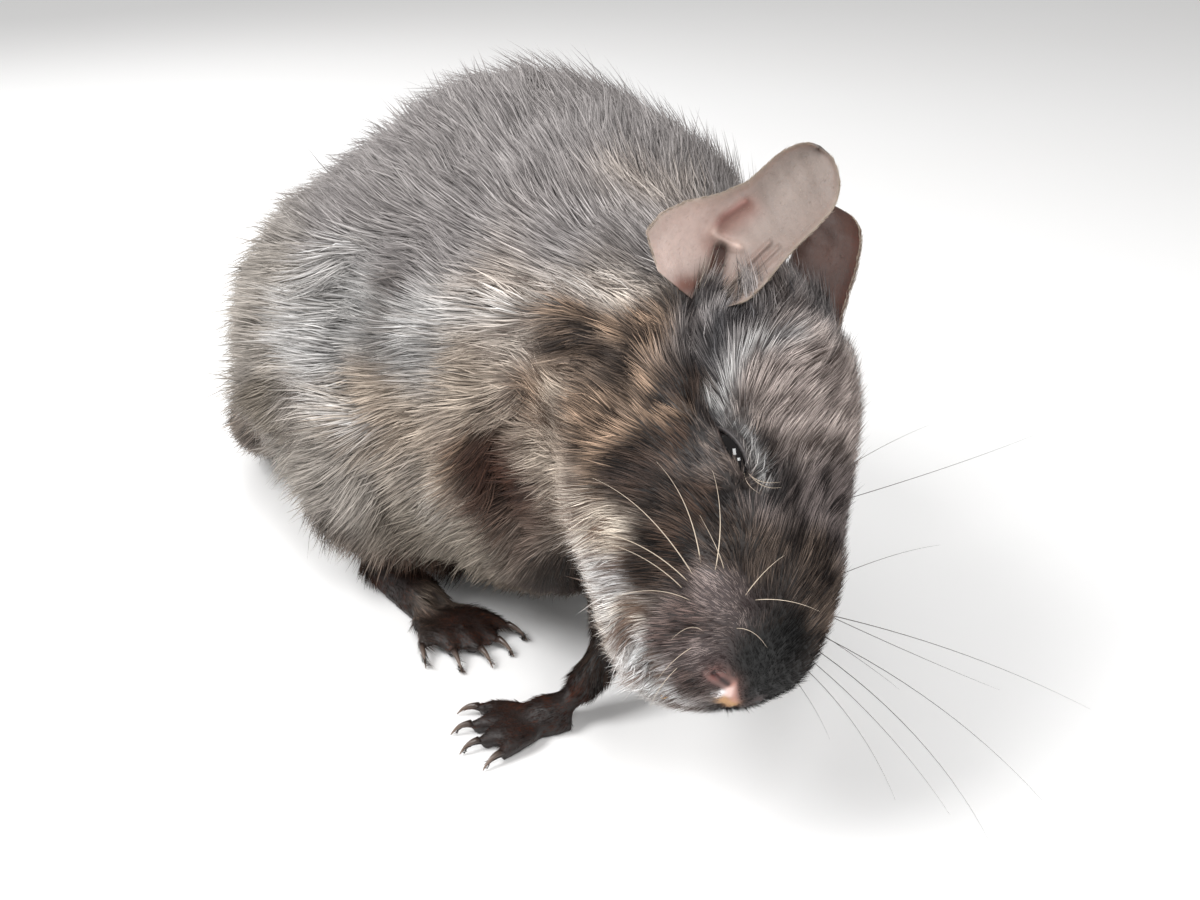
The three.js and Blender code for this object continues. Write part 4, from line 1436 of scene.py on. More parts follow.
@dataclass(frozen=True)
class Fringe:
    """A band of hairs that stand out from the coat along a line on the head."""

    name: str
    line: tuple[Point, ...]
    width: float
    count: int
    lie: Point
    length: float
    lift: float

    def weight(self, points: Array) -> Array:
        """Returns how thickly the band grows at each place."""
        lines = head_mark(self.line, self.width, Coat.BACK, both=True).lines()
        return sum(bell(line_gap(points, line), self.width) for line in lines)

    def raise_hair(self, root: dict[str, Array]) -> dict[str, Array]:
        """Returns the roots' groom with this band's own lie, length and lift."""
        hand = np.where(SKULL.into(root["at"])[:, :1] > 0, -1.0, 1.0)
        lie = SKULL.turn(np.array(self.lie) * np.concatenate([hand, np.ones((len(hand), 2))], 1))
        length = np.full(len(hand), self.length)
        depth = length * math.sin(self.lift) / BENT.rise
        return {**root, "lie": unit(lie), "length": length, "depth": depth}


FRINGES = (
    Fringe(
        "ear", ((-11, 11.2, 9.8), (-7, 14.0, 11.6), (-4, 15.6, 11.9)),
        1.3, 2400, (-0.3, 0.9, 0.3), 4.4, 0.66,
    ),
    Fringe(
        "lip", ((-12.5, -17, -11), (-11, -21.5, -9.5), (-8.5, -25.5, -7.5)),
        1.0, 360, (-0.5, -0.3, -0.8), 3.4, 0.7,
    ),
    Fringe("brow", ((-13.5, -6.5, 8.4), (-12.5, -8.5, 8.6)), 0.7, 60, (-0.6, 0.3, 0.6), 3.2, 0.6),
)


@dataclass
class Fur:
    """The coat: thin tapering tufts that lie along the skin.

    Straight spikes make most of it. Bent tufts lie over them where the hair is long. `most` is
    how many faces a piece may have. `stray` is how far single tufts leave the lie and `wander`
    how far whole tracts of them do. Guard hairs grow where the coat is longer than
    `short_coat`. `sunk` is how deep a root lies and `floor` the least height of any hair.
    """

    skin: bpy.types.Object
    spikes: int = 208000
    bent: int = 50000
    width: float = 0.185
    most: int = 190000
    stray: float = 0.08
    wander: float = 0.24
    short_coat: float = 2.8
    guard_length: float = 1.35
    guard_lift: float = 0.1
    sunk: float = 0.3
    floor: float = 0.1
    slots: tuple[tuple[str, str], ...] = (
        ("body", "coat_body"),
        ("head", "coat_face"),
        ("feet", "foot"),
        ("tail", "tail"),
    )
    corners: dict[str, Array] = field(default_factory=dict)

    def spread(self) -> None:
        """Reads the skin's triangles, their corners, unwrap and outward directions."""
        mesh = self.skin.data
        mesh.calc_loop_triangles()
        numbers = {"vertices": None, "loops": None}
        for name in numbers:
            flat = np.empty(len(mesh.loop_triangles) * 3, int)
            mesh.loop_triangles.foreach_get(name, flat)
            numbers[name] = flat.reshape(-1, 3)
        layout = np.empty(len(mesh.loops) * 2)
        mesh.uv_layers["OFBake"].data.foreach_get("uv", layout)
        points, out = Place.read(self.skin), normals(self.skin)
        at = points[numbers["vertices"]]
        area = np.linalg.norm(np.cross(at[:, 1] - at[:, 0], at[:, 2] - at[:, 0]), axis=1) / 2
        facing = out[numbers["vertices"]]
        middle = at.mean(1)
        groom = GROOM.at(middle)
        hairy = ~Skin.bare(middle, unit(facing.mean(1)))
        self.corners = {
            "at": at,
            "out": facing,
            "unwrap": layout.reshape(-1, 2)[numbers["loops"]],
            "spikes": area * hairy * groom["fine"] ** 1.6,
            "bent": area * hairy * ramp(3.0, 5.5, groom["length"]),
            **{fringe.name: area * hairy * fringe.weight(middle) for fringe in FRINGES},
        }
        log.info("skin of %.0f square mm", area.sum())

    def roots(self, kind: str, count: int, random: np.random.Generator) -> dict[str, Array]:
        """Scatters roots over the skin.

        Args:
            kind: which weight says where they grow.
            count: how many.
            random: the source of the draw.

        Returns:
            Each root's place, outward direction, place on the skin's unwrap, and groom.
        """
        total = np.cumsum(self.corners[kind])
        draw = (np.arange(count) + random.random(count)) / count
        face = np.searchsorted(total, draw * total[-1])
        share = random.random((count, 2))
        share = np.where(share.sum(1, keepdims=True) > 1, 1 - share, share)
        share = np.concatenate([1 - share.sum(1, keepdims=True), share], axis=1)[:, :, None]
        named = ("at", "out", "unwrap")
        found = {name: (self.corners[name][face] * share).sum(1) for name in named}
        found["out"] = unit(found["out"])
        groom = GROOM.at(found["at"])
        for lid in EYELIDS:
            groom["lie"] = lid.comb(found["at"], groom["lie"])
        return {**found, **groom}

    def strands(
        self, root: dict[str, Array], kind: Tuft, random: np.random.Generator
    ) -> dict[str, Array]:
        """Lays each tuft along its lie and towards its clump.

        Args:
            root: what `roots` found.
            kind: the kind of tuft.
            random: the source of the draw.

        Returns:
            The middle and the tip of each tuft, its sideways direction, half width and colours.
        """
        at, out = root["at"], root["out"]
        count = len(at)
        lie = root["lie"] + random.normal(0, self.stray, (count, 3))
        lie += self.wander * np.stack([drift(at, 8, seed) for seed in (1, 2, 3)], 1)
        lie = unit(lie - out * dot(lie, out))
        length = root["length"] * random.normal(1, 0.15, count).clip(0.55, 1.45)
        guard = (random.random(count) < kind.guards) & (root["length"] > self.short_coat)
        length = np.where(guard, length * self.guard_length, length)
        lift = np.arcsin(np.clip(root["depth"] / root["length"] * kind.rise, 0, 0.85))
        lift = lift * random.normal(1, 0.22, count).clip(0.4, 1.7)
        lift = lift + np.where(guard, self.guard_lift, 0.0)

        def along(angle: Array) -> Array:
            """Returns the way of a hair that rises from the skin by an angle."""
            return lie * np.cos(angle)[:, None] + out * np.sin(angle)[:, None]

        middle = at + along(lift) * (length * 0.5)[:, None]
        tip = middle + along(lift * kind.drop) * (length * 0.5)[:, None]
        clump = self.clumps(at, kind.clump)
        pull = np.where(guard, 0.1, random.uniform(0.1, 0.48, count))[:, None]
        lean = at[clump] + (tip - at)[clump] * (length / length[clump])[:, None]
        tip = tip + (lean - tip) * pull
        middle = middle + (at[clump] + (middle - at)[clump] - middle) * pull * 0.3
        seen = GROOM.at(at + (tip - at) * 0.7)
        for lid in EYELIDS:
            lid.tint(at, seen)
        grizzle = self.grizzle(root, clump, random) ** seen["bias"]
        grizzle = np.where(guard, grizzle * 0.75, grizzle)[:, None]
        hue = seen["dark"] + (seen["light"] - seen["dark"]) * grizzle
        return {
            "middle": middle,
            "tip": tip,
            "side": unit(np.cross(out, tip - at)),
            "half": self.width / root["fine"] / 2 * random.uniform(0.75, 1.25, count),
            "hue": hue,
            "root_hue": root["dark"] * 0.4 + hue * 0.1,
            "tip_hue": hue * random.uniform(0.8, 1.5, (count, 1)),
        }

    @staticmethod
    def grizzle(root: dict[str, Array], clump: Array, random: np.random.Generator) -> Array:
        """Draws how light each tuft is: alike in a clump, drifting over the body.

        Args:
            root: what `roots` found.
            clump: the number of the root that leads each one's clump.
            random: the source of the draw.

        Returns:
            A share from 0 for a tuft's dark tone to 1 for its light one, or a little more.
        """
        count = len(clump)
        face = ramp(1.0, 1.5, root["fine"])
        share = 0.6 * random.random(count) ** 1.3
        share = share + (0.3 + 0.16 * face) * random.random(count)[clump]
        share += 0.08 - 0.06 * face + (0.16 + 0.12 * face) * drift(root["at"], 4.0, 8)
        share = 0.5 + (share - 0.5) * (1 + 0.9 * (root["fine"] - 1))
        return np.clip(share, 0.0, 1.3)

    @staticmethod
    def clumps(at: Array, size: int) -> Array:
        """Returns for each root the number of the root that leads its clump."""
        leaders = np.arange(0, len(at), size)
        tree = KDTree(len(leaders))
        for number, place in enumerate(at[leaders]):
            tree.insert(place, number)
        tree.balance()
        return leaders[np.array([tree.find(place)[1] for place in at])]

    def build(self) -> list[tuple[bpy.types.Object, str]]:
        """Returns the coat's pieces, each with its material slot."""
        random = np.random.default_rng(SEED)
        share = 1
        self.spread()
        made = []
        for title, kind, count in (("spikes", SPIKE, self.spikes), ("bent", BENT, self.bent)):
            root = self.roots(title, count // share, random)
            strand = self.strands(root, kind, random)
            region = self.regions(root["at"])
            for number, (name, slot) in enumerate(self.slots):
                part = np.flatnonzero(region == number)
                part = part[np.argsort(root["at"][part, 1], kind="stable")]
                chunks = len(part) * len(kind.faces) // self.most + 1
                for chunk, tufts in enumerate(np.array_split(part, chunks), 1):
                    if len(tufts):
                        label = f"fur_{name}_{title}_{chunk}"
                        made.append((self.piece(label, root, strand, tufts, kind), slot))
        for fringe in FRINGES:
            root = fringe.raise_hair(self.roots(fringe.name, fringe.count // share, random))
            strand = self.strands(root, BENT, random)
            part = np.arange(len(root["at"]))
            piece = self.piece(f"fur_fringe_{fringe.name}", root, strand, part, BENT)
            made.append((piece, "coat_face"))
        return made

    @staticmethod
    def regions(at: Array) -> Array:
        """Returns 0 for the trunk, 1 for the head, 2 for the feet and 3 for the tail."""
        head = SKULL.into(at)
        found = np.where((head[:, 1] < 15) & (np.linalg.norm(head, axis=1) < 34), 1, 0)
        found = np.where((at[:, 2] < 6) & (at[:, 1] < 20), 2, found)
        return np.where((at[:, 1] > 37) & (at[:, 2] < 24) & (at[:, 1] + at[:, 0] > 22), 3, found)

    def piece(
        self, name: str, root: dict[str, Array], strand: dict[str, Array], part: Array, kind: Tuft
    ) -> bpy.types.Object:
        """Makes one piece of the coat.

        Args:
            name: its name.
            root: what `roots` found.
            strand: what `strands` found.
            part: the numbers of its tufts.
            kind: the kind of its tufts.

        Returns:
            The piece, with its colours, soft shading and OFBake map.
        """
        at, out = root["at"][part], root["out"][part]
        middle, tip, side = (strand[key][part] for key in ("middle", "tip", "side"))
        half = strand["half"][part][:, None]
        low = at - out * self.sunk
        rings = [low + side * half, low - side * half, low + out * half * 1.5]
        if 1 in kind.steps:
            rings += [middle + side * half * 0.85, middle - side * half * 0.85, middle + out * half]
        rings.append(tip)
        points = np.stack(rings, 1)
        points[:, :, 2] = np.maximum(points[:, :, 2], self.floor)
        first = np.arange(len(part))[:, None, None] * len(rings)
        corners = (np.array(kind.faces)[None] + first).reshape(-1, 3)
        piece = mesh_piece(name, points.reshape(-1, 3), corners)
        tones = [strand["root_hue"][part], strand["hue"][part], strand["tip_hue"][part]]
        paint(piece, np.stack([tones[step] for step in kind.steps], 1).reshape(-1, 3))
        patch_map(piece, corners, root["unwrap"][part], np.array(kind.patch))
        round_off(piece)
        lean = np.array([1, -1, 0] * (len(rings) // 3) + [0.0])[None, :, None]
        soft = unit(out[:, None] + side[:, None] * lean * 0.75)
        piece.data.normals_split_custom_set_from_vertices(soft.reshape(-1, 3))
        return piece


# Ears


@dataclass(frozen=True)
class Down:
    """One group of an ear's hairs.

    `across` and `up` are the spans of the leaf where they grow, `faces` the sides of it (-1 for
    the inner one and 1 for the back), `stand` how far they stand off it.
    """

    count: int
    across: tuple[float, float]
    up: tuple[float, float]
    faces: tuple[int, int]
    length: float
    width: float
    tone: tuple[int, int, int]
    stand: float = 0.5


DOWN = (
    Down(1500, (-1, 1), (0.02, 0.94), (-1, 1), 0.3, 0.03, (168, 154, 143), 0.06),
    Down(800, (0.97, 1), (0.08, 0.98), (-1, 1), 0.6, 0.04, (160, 146, 132), 0.06),
    Down(800, (-1, -0.97), (0.02, 0.98), (-1, 1), 0.6, 0.04, (160, 146, 132), 0.06),
    Down(26, (-0.3, 0.0), (0.02, 0.12), (-1, -1), 4.5, 0.055, (190, 178, 166)),
    Down(60, (-0.3, 0.1), (0.0, 0.08), (-1, -1), 3.4, 0.055, (84, 72, 64)),
    Down(60, (0.1, 0.6), (0.04, 0.2), (-1, -1), 3.6, 0.055, (178, 166, 156)),
)


@dataclass
class Ear:
    """One ear: a thin cupped leaf with a wide lobe behind, folds and a canal at its base.

    `lobe` and `front` are its half widths up the leaf, as shares of `width`. Hairs shorter than
    `short` are darkened on its back as painted shade, matching the back's shaded skin.
    """

    side: str
    base: Point
    tip: Point
    opening: Point
    out: float
    length: float = 21.3
    width: float = 20.0
    thick: float = 0.75
    cup: float = 3.0
    lean: float = 1.5
    rounding: float = 0.74
    rows: int = 110
    columns: int = 150
    short: float = 0.6
    lobe: tuple[float, ...] = (0.34, 0.51, 0.5, 0.42, 0.3, 0.215, 0.185, 0.17, 0.16)
    front: tuple[float, ...] = (0.02, 0.14, 0.17, 0.18, 0.2, 0.23, 0.25, 0.25, 0.24)
    canal: tuple[Point, ...] = ((-2.6, 6.4, 0), (-1.8, 4.2, 0), (-0.8, 1.0, 0))
    hook: tuple[Point, ...] = (
        *((-3.2, 11.6, 0), (-4.3, 9.0, 0), (-4.2, 7.2, 0)),
        *((-3.0, 7.0, 0), (-1.2, 7.4, 0)),
    )
    pleats: tuple[float, ...] = (0.3, 1.35, 2.3)

    def frame(self) -> tuple[Array, Array]:
        """Returns the base and, as rows, the ways across, away from the opening and up."""
        opening = unit(np.array(self.opening, float))
        up = np.array(self.tip, float)
        up = unit(up - opening * up.dot(opening))
        return np.array(self.base), np.array([np.cross(-opening, up), -opening, up])

    def half(self, across: Array, up: Array) -> Array:
        """Returns the half width towards one edge at a height from 0 to 1."""
        rounding = np.clip((up - self.rounding) / (1 - self.rounding), 0, 1)
        places = np.linspace(0, 1, len(self.lobe))
        front, lobe = np.interp(up, places, self.front), np.interp(up, places, self.lobe)
        closing = np.sqrt(np.clip(1 - rounding**2, 0, 1))
        return np.where(across > 0, front, lobe) * closing * self.width

    def surface(self, across: Array, up: Array, through: Array) -> Array:
        """Places points of the ear.

        Args:
            across: from -1 at the lobe's edge to 1 at the front edge.
            up: from 0 at the base to 1 at the tip.
            through: from -1 on the inner face to 1 on the back.

        Returns:
            The places in the animal's own measure.
        """
        flat = np.stack([across * self.half(across, up), up * self.length, np.zeros_like(up)], -1)
        inner = np.clip(-through, 0, 1)
        hollow = 2.2 * bell(line_gap(flat, np.array(self.canal)), 2.6)
        hollow += inner * 2.6 * bell(line_gap(flat, np.array(self.canal)), 0.6)
        hollow -= inner * 1.1 * bell(line_gap(flat, np.array(self.hook)), 0.6)
        hollow += 0.5 * bell(line_gap(flat, np.array([[-5.5, 6.5, 0]])), 2.6)
        for pleat in self.pleats:
            line = np.array([[pleat, 2.5, 0], [pleat + 0.3, 6, 0], [pleat + 1.0, 9.5, 0]])
            hollow -= inner * 0.55 * bell(line_gap(flat, line), 0.28)
        hollow += 0.28 * drift(flat, 7, 11) + 0.07 * drift(flat, 2.2, 12)
        cup = self.cup * across**2 * np.sqrt(1 - up * 0.8) - self.lean * up**2
        edge = np.sqrt(np.clip(1 - across**2, 0, 1))
        thick = self.thick * (1.5 - 0.6 * np.clip(up * 2, 0, 1)) * (0.55 + 0.45 * edge)
        curl = 0.35 * ramp(0.82, 1.0, np.abs(across)) * ramp(0.05, 0.2, up)
        depth = through * thick / 2 - cup + hollow - curl
        local = np.stack([across * self.half(across, up) * self.out, depth, up * self.length], -1)
        base, axes = self.frame()
        return SKULL.out(local @ axes + base)

    def grid(self) -> tuple[Array, Array, Array]:
        """Returns across, up and through for each row and column of the closed leaf."""
        up = np.linspace(0, 1, self.rows)[:, None]
        turn = (np.arange(self.columns) * 2 * math.pi / self.columns)[None]
        shape = (self.rows, self.columns)
        parts = (np.cos(turn), up, np.sin(turn))
        return tuple(np.broadcast_to(part, shape).ravel() for part in parts)

    def hues(self, across: Array, up: Array, through: Array) -> Array:
        """Colours the leaf, with painted light on the lobe and painted shade on the hook, canal and
        back.

        Args:
            across: from -1 at the lobe's edge to 1 at the front edge.
            up: from 0 at the base to 1 at the tip.
            through: from -1 on the inner face to 1 on the back.

        Returns:
            The ear's colours.
        """
        flat = np.stack([across * self.half(across, up), up * self.length, np.zeros_like(up)], -1)
        inside = np.tile(linear(135, 122, 115), (len(up), 1))
        washes = (
            # Partly the lobe's paler skin, partly painted light: the lobe is lit brighter than the
            # leaf.
            (((-7, 0, 0), (-6, 6, 0)), 4.0, (186, 166, 158), 1.0),
            (((-1.5, 21, 0), (3.5, 19, 0)), 4.5, (124, 112, 105), 0.9),
            (((2.5, 10, 0), (4.5, 15, 0)), 2.4, (122, 107, 99), 0.6),
            (((-2.6, 11.4, 0), (-3.7, 8.6, 0), (-3.7, 6.4, 0)), 1.3, (150, 112, 102), 0.7),
            # Painted shadow beside the ridge of the hook-shaped fold.
            (self.hook[:3], 0.5, (104, 62, 54), 0.8),
            (self.hook[2:], 0.7, (186, 164, 154), 0.8),
            (((0.4, 2, 0), (1.6, 8, 0)), 1.5, (124, 104, 96), 0.8),
            # Painted shade: near black in the canal's opening.
            (self.canal, 0.75, (7, 4, 4), 1.0),
            (((-3.8, 0.5, 0), (-2.6, 1.5, 0)), 1.1, (110, 62, 48), 0.8),
        )
        inside = washed(inside, flat, washes)
        rim = ramp(0.9, 1.0, np.abs(across))[:, None] * 0.3
        inside += rim * (linear(168, 155, 142) - inside)
        # The back's dark brown is partly the bare skin's colour, partly painted shade: the far ear's
        # back lies in shade.
        back = linear(54, 28, 17) * (1 + 0.25 * drift(flat, 4, 9))[:, None]
        share = (ramp(-0.2, 0.25, through) * ramp(1.0, 0.97, up))[:, None]
        return inside * (1 - share) + back * share

    def build(self) -> bpy.types.Object:
        """Returns the ear's closed leaf."""
        across, up, through = self.grid()
        points = self.surface(across, up, through)
        row, column = np.arange(self.rows - 1)[:, None], np.arange(self.columns)[None]
        low = (row * self.columns + column).ravel()
        beside = (row * self.columns + (column + 1) % self.columns).ravel()
        sides = np.stack([low, beside, beside + self.columns, low + self.columns], 1)
        ends = []
        for first in (0, (self.rows - 1) * self.columns):
            near, far = np.arange(self.columns // 2), self.columns - np.arange(self.columns // 2)
            cap = np.stack([near, near + 1, far - 1, far % self.columns], 1) + first
            ends.append(cap[:, ::-1] if first == 0 else cap)
        faces = np.concatenate([sides, ends[0][1:-1], ends[1][1:-1]])
        ear = mesh_piece(f"ear_{self.side}", points, faces)
        paint(ear, self.hues(across, up, through))
        with editing(ear):
            bpy.ops.mesh.remove_doubles(threshold=20 * SAME)
            bpy.ops.mesh.fill_holes(sides=0)
            bpy.ops.mesh.normals_make_consistent(inside=False)
        round_off(ear)
        return ear

    def down(self) -> bpy.types.Object:
        """Returns the ear's short hair: down on both faces, a pale fringe and canal hairs."""
        random = np.random.default_rng(SEED + (1 if self.side == "right" else 2))
        roots, tips, halves, hues, spots = [], [], [], [], []
        for group in DOWN:
            across = random.uniform(*group.across, group.count)
            up = random.uniform(*group.up, group.count)
            through = np.where(random.random(group.count) < 0.5, *group.faces)
            root = self.surface(across, up, through)
            higher = self.surface(across, np.clip(up + 0.03, 0, 1), through)
            outer = self.surface(across * 1.04, up, through * 2.2)
            way = unit(higher - root) + group.stand * unit(outer - root)
            way = unit(way + random.normal(0, 0.16, way.shape))
            length = group.length * random.uniform(0.6, 1.25, group.count)
            roots.append(root)
            tips.append(root + way * length[:, None])
            spots.append(np.stack([across * 0.24 + np.where(through < 0, 0.25, 0.75), up], 1))
            halves.append(np.full(group.count, group.width / 2))
            tone = linear(*group.tone) * random.uniform(0.8, 1.15, (group.count, 1))
            # Short down on the back is darkened as painted shade, matching the back.
            dark = (through > 0)[:, None] & (group.length < self.short)
            hues.append(np.where(dark, tone * 0.25, tone))
        root, tip = np.concatenate(roots), np.concatenate(tips)
        paths = np.stack([root, root + (tip - root) * 0.55, tip], 1)
        radii = np.concatenate(halves)[:, None] * np.array([[1.0, 0.8, 0.15]])
        points, faces = tubes(paths, radii, 3)
        down = mesh_piece(f"ear_down_{self.side}", points, faces)
        paint(down, np.repeat(np.concatenate(hues), 11, axis=0))
        patch_map(down, faces, np.concatenate(spots), tube_spread(3, 3))
        return down


# Eyes, teeth, claws and whiskers


@dataclass(frozen=True)
class Eye:
    """A glossy dark eyeball, as deep as a real one."""

    side: str

    def build(self) -> bpy.types.Object:
        """Returns the eyeball."""
        ball = eye_ball(self.side, EYE_RADIUS, 64, 40)
        ball.name = f"eye_{self.side}"
        paint(ball, np.tile(linear(10, 7, 7), (len(ball.data.vertices), 1)))
        round_off(ball)
        return ball


@dataclass(frozen=True)
class Incisors:
    """The two upper front teeth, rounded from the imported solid."""

    edge: float = 0.28

    def build(self) -> bpy.types.Object:
        """Returns the teeth."""
        teeth = merged_copy("incisors")
        teeth.name = "teeth"
        apply_modifier(teeth, "BEVEL", width=self.edge * MM, segments=3, limit_method="ANGLE")
        height = SKULL.into(Place.read(teeth))[:, 2]
        share = ramp(-8.0, -5.0, height)[:, None]
        paint(teeth, linear(228, 176, 104) * (1 - share) + linear(206, 128, 52) * share)
        round_off(teeth)
        return teeth


@dataclass(frozen=True)
class Foot:
    """Where one foot stands and how its toes spread, for its claws."""

    name: str
    ankle: Point
    forward: Point
    length: float
    width: float
    toe: float
    girth: float
    claw: float
    toes: tuple[tuple[float, float], ...]

    def claws(self) -> list[tuple[Array, Array]]:
        """Returns the root and the tip of each claw."""
        forward = unit(np.array(self.forward, float))
        left = np.cross(forward, (0, 0, 1)) * -1
        palm = self.length - self.toe - self.claw
        found = []
        for side, reach in self.toes:
            x, spread = side * self.width * 0.42, side * self.width * 0.28
            tip = palm + self.toe * reach
            ends = []
            for out, ahead, up in ((0.9, -0.3, 1.35), (1.4, self.claw, 0.3)):
                place = np.array(self.ankle) + left * (x + spread * out) + forward * (tip + ahead)
                place[2] = up * (self.girth if up > 1 else 1.0)
                ends.append(place)
            found.append((ends[0], ends[1]))
        return found


FORE_TOES = ((-1, 0.7), (-0.35, 1), (0.35, 1), (1, 0.7))
HIND_TOES = ((-1.15, 0.35), (-0.7, 0.8), (-0.15, 1), (0.4, 0.95), (0.95, 0.7))
FEET = (
    Foot("forefoot_right", (-22.5, -44, 0), (-0.88, 0.42, 0), 17, 8, 6.5, 1.25, 2.6, FORE_TOES),
    Foot("forefoot_left", (9, -38, 0), (-0.1, -1, 0), 17, 8, 6.5, 1.25, 2.6, FORE_TOES),
    Foot("hindfoot_right", (-18, 8, 0), (-0.1, -1, 0), 35, 9, 9, 1.5, 3, HIND_TOES),
    Foot("hindfoot_left", (16, 12, 0), (0.12, -1, 0), 35, 9, 9, 1.5, 3, HIND_TOES),
)


@dataclass(frozen=True)
class Claws:
    """The claws: one is modelled, then copied to every toe."""

    girth: float = 0.5

    def model(self) -> bpy.types.Object:
        """Returns one straight claw, one long along z; `build` arches each copy upwards."""
        only(None)
        bpy.ops.mesh.primitive_cone_add(vertices=14, radius1=1.0, radius2=0.12, depth=1.0)
        claw = bpy.context.active_object
        with editing(claw):
            bpy.ops.mesh.subdivide(number_cuts=5)
            bpy.ops.mesh.normals_make_consistent(inside=False)
        round_off(claw)
        return claw

    def build(self) -> list[bpy.types.Object]:
        """Returns the claws of each foot as one piece."""
        model = self.model()
        shape = (Place.read(model) + Place.shift) * MM
        share = shape[:, 2] + 0.5
        feet = []
        for foot in FEET:
            claws = []
            for root, tip in foot.claws():
                claw = copied(model)
                way = tip - root
                across = unit(np.cross(way, (0, 0, 1)))
                over = unit(np.cross(across, way))
                arch = 0.5 * np.sin(share * math.pi)
                points = root + share[:, None] * way + arch[:, None] * over
                points += shape[:, :1] * across * self.girth + shape[:, 1:2] * over * self.girth * 1.1
                points[:, 2] = np.maximum(points[:, 2], 0.05)
                Place.write(claw, points)
                tone = linear(40, 30, 27) * (1 - share)[:, None]
                tone = tone + linear(122, 104, 92) * share[:, None]
                paint(claw, tone)
                claws.append(claw)
            feet.append(joined(claws, f"claws_{foot.name}"))
        bpy.data.objects.remove(model)
        return feet


@dataclass(frozen=True)
class Whisker:
    """One whisker or lash, given in the skull's frame: its root, the way it bows and its tip."""

    root: Point
    through: Point
    tip: Point
    thick: float = 0.21
    dark: bool = False


WHISKERS = (
    Whisker((-13, -16.8, 2.8), (-15.6, -11.6, 5.6), (-19.5, -7.6, 6)),
    Whisker((-12.8, -16.6, 3.5), (-16, -15.4, 4.8), (-20.3, -12.1, 4.6), 0.18),
    Whisker((-13.7, -15.7, 1.6), (-17.2, -9.6, 2.6), (-23, -6.6, 1.5)),
    Whisker((-13.6, -16.8, 0.6), (-21, -10, -0.6), (-27.1, -8.2, -3.6)),
    Whisker((-13.5, -17.5, -0.1), (-21, -12.2, -2.4), (-28.3, -13.1, -6.9)),
    Whisker((-13.5, -18, -1.1), (-18.8, -14.4, -2.4), (-24.8, -13.8, -5.4), 0.18),
    Whisker((-13, -19.3, -0.3), (-18, -17.6, -2.2), (-22.1, -19.6, -5), 0.15),
    Whisker((-11, -19.2, 5.1), (-12.6, -17, 8), (-12.6, -15.9, 10.4), 0.16),
    Whisker((-10.1, -19.8, 6), (-10.4, -19.8, 9.6), (-9.8, -21.7, 12.6), 0.15),
    Whisker((-12, -22.5, 0.5), (-15, -21.6, 0.5), (-16.4, -23.6, -1.2), 0.13),
    Whisker((-10.4, -22.4, 3.6), (-11.6, -22.6, 6), (-12, -25, 7.4), 0.13),
    Whisker((-11.5, -24, -1), (-14, -25, -2), (-14.6, -27.4, -4), 0.12),
    Whisker((-10.5, -25.6, -3), (-12, -27.6, -5), (-12.4, -30, -6), 0.11),
    Whisker((6.5, -18, 3), (31, -22.4, 16.5), (45, -31.4, 29), 0.2, True),
    Whisker((6.5, -19, 2), (24, -28.4, 15.5), (35, -42.1, 23.5), 0.2, True),
    Whisker((6, -20, 1.5), (18.4, -32, 15), (25.5, -46.8, 19), 0.2, True),
    Whisker((6, -21, 1), (16.2, -31, 10.4), (26, -43.1, 14.4), 0.18, True),
    Whisker((5.6, -22, 0.6), (11.4, -30.4, 9), (18.7, -41, 10.1), 0.16, True),
    Whisker((7, -17.6, 3.4), (22, -24.6, 13.5), (34.2, -28.6, 20.2), 0.18, True),
    Whisker((6.6, -19.4, 3.2), (14, -25, 9.4), (20.6, -28.3, 11.4), 0.15, True),
    Whisker((5, -23, 0.4), (7.4, -29, 5), (8.1, -33.9, 6.4), 0.13, True),
    Whisker((7, -16, 4.5), (15, -12.6, 13.4), (21.7, -11.6, 17.9), 0.15, True),
    Whisker((12, -7, 9.6), (24, -2, 20), (30.6, 1.9, 29), 0.15, True),
    Whisker((12, -3, 10.5), (16, 0.6, 14), (18.6, 2.5, 19), 0.13, True),
    Whisker((-13.2, -7.2, 7.4), (-13.6, -8.6, 8.4), (-11.9, -8.2, 10.4), 0.13),
    Whisker((-13.1, -7.5, 7.7), (-13.2, -9.2, 8.8), (-11.2, -8.6, 10.2), 0.12),
    Whisker((-13.4, -7.3, 7), (-14.2, -8.6, 7.4), (-13.6, -9.4, 8.6), 0.1),
)


@dataclass(frozen=True)
class Whiskers:
    """All the whiskers, cream on the near side and dark on the far one."""

    skin: bpy.types.Object
    steps: int = 16
    sides: int = 6

    def build(self) -> bpy.types.Object:
        """Returns the whiskers as one piece, each rooted in the skin."""
        roots, middles, tips = (
            SKULL.out([getattr(one, end) for one in WHISKERS]) for end in ("root", "through", "tip")
        )
        for number, root in enumerate(roots):
            _, near, _, _ = self.skin.closest_point_on_mesh(Vector(Place.metres(root)))
            found = np.array(near) / MM - Place.shift
            roots[number] = found - unit(middles[number] - found) * 0.4
        tips[:, 2] = np.maximum(tips[:, 2], 0.4)
        paths = bow(roots, middles, tips, self.steps)
        taper = np.linspace(1, 0.1, self.steps)[None] ** 0.8
        radii = np.array([[one.thick * 0.3] for one in WHISKERS]) * taper
        points, faces = tubes(paths, radii, self.sides)
        piece = mesh_piece("whiskers", points, faces)
        spots = np.stack([np.linspace(0.05, 0.95, len(WHISKERS)), np.full(len(WHISKERS), 0.5)], 1)
        patch_map(piece, faces, spots, tube_spread(self.steps, self.sides))
        tones = [linear(58, 50, 47) if one.dark else linear(204, 188, 168) for one in WHISKERS]
        paint(piece, np.repeat(tones, self.steps * self.sides + 2, axis=0))
        round_off(piece)
        return piece


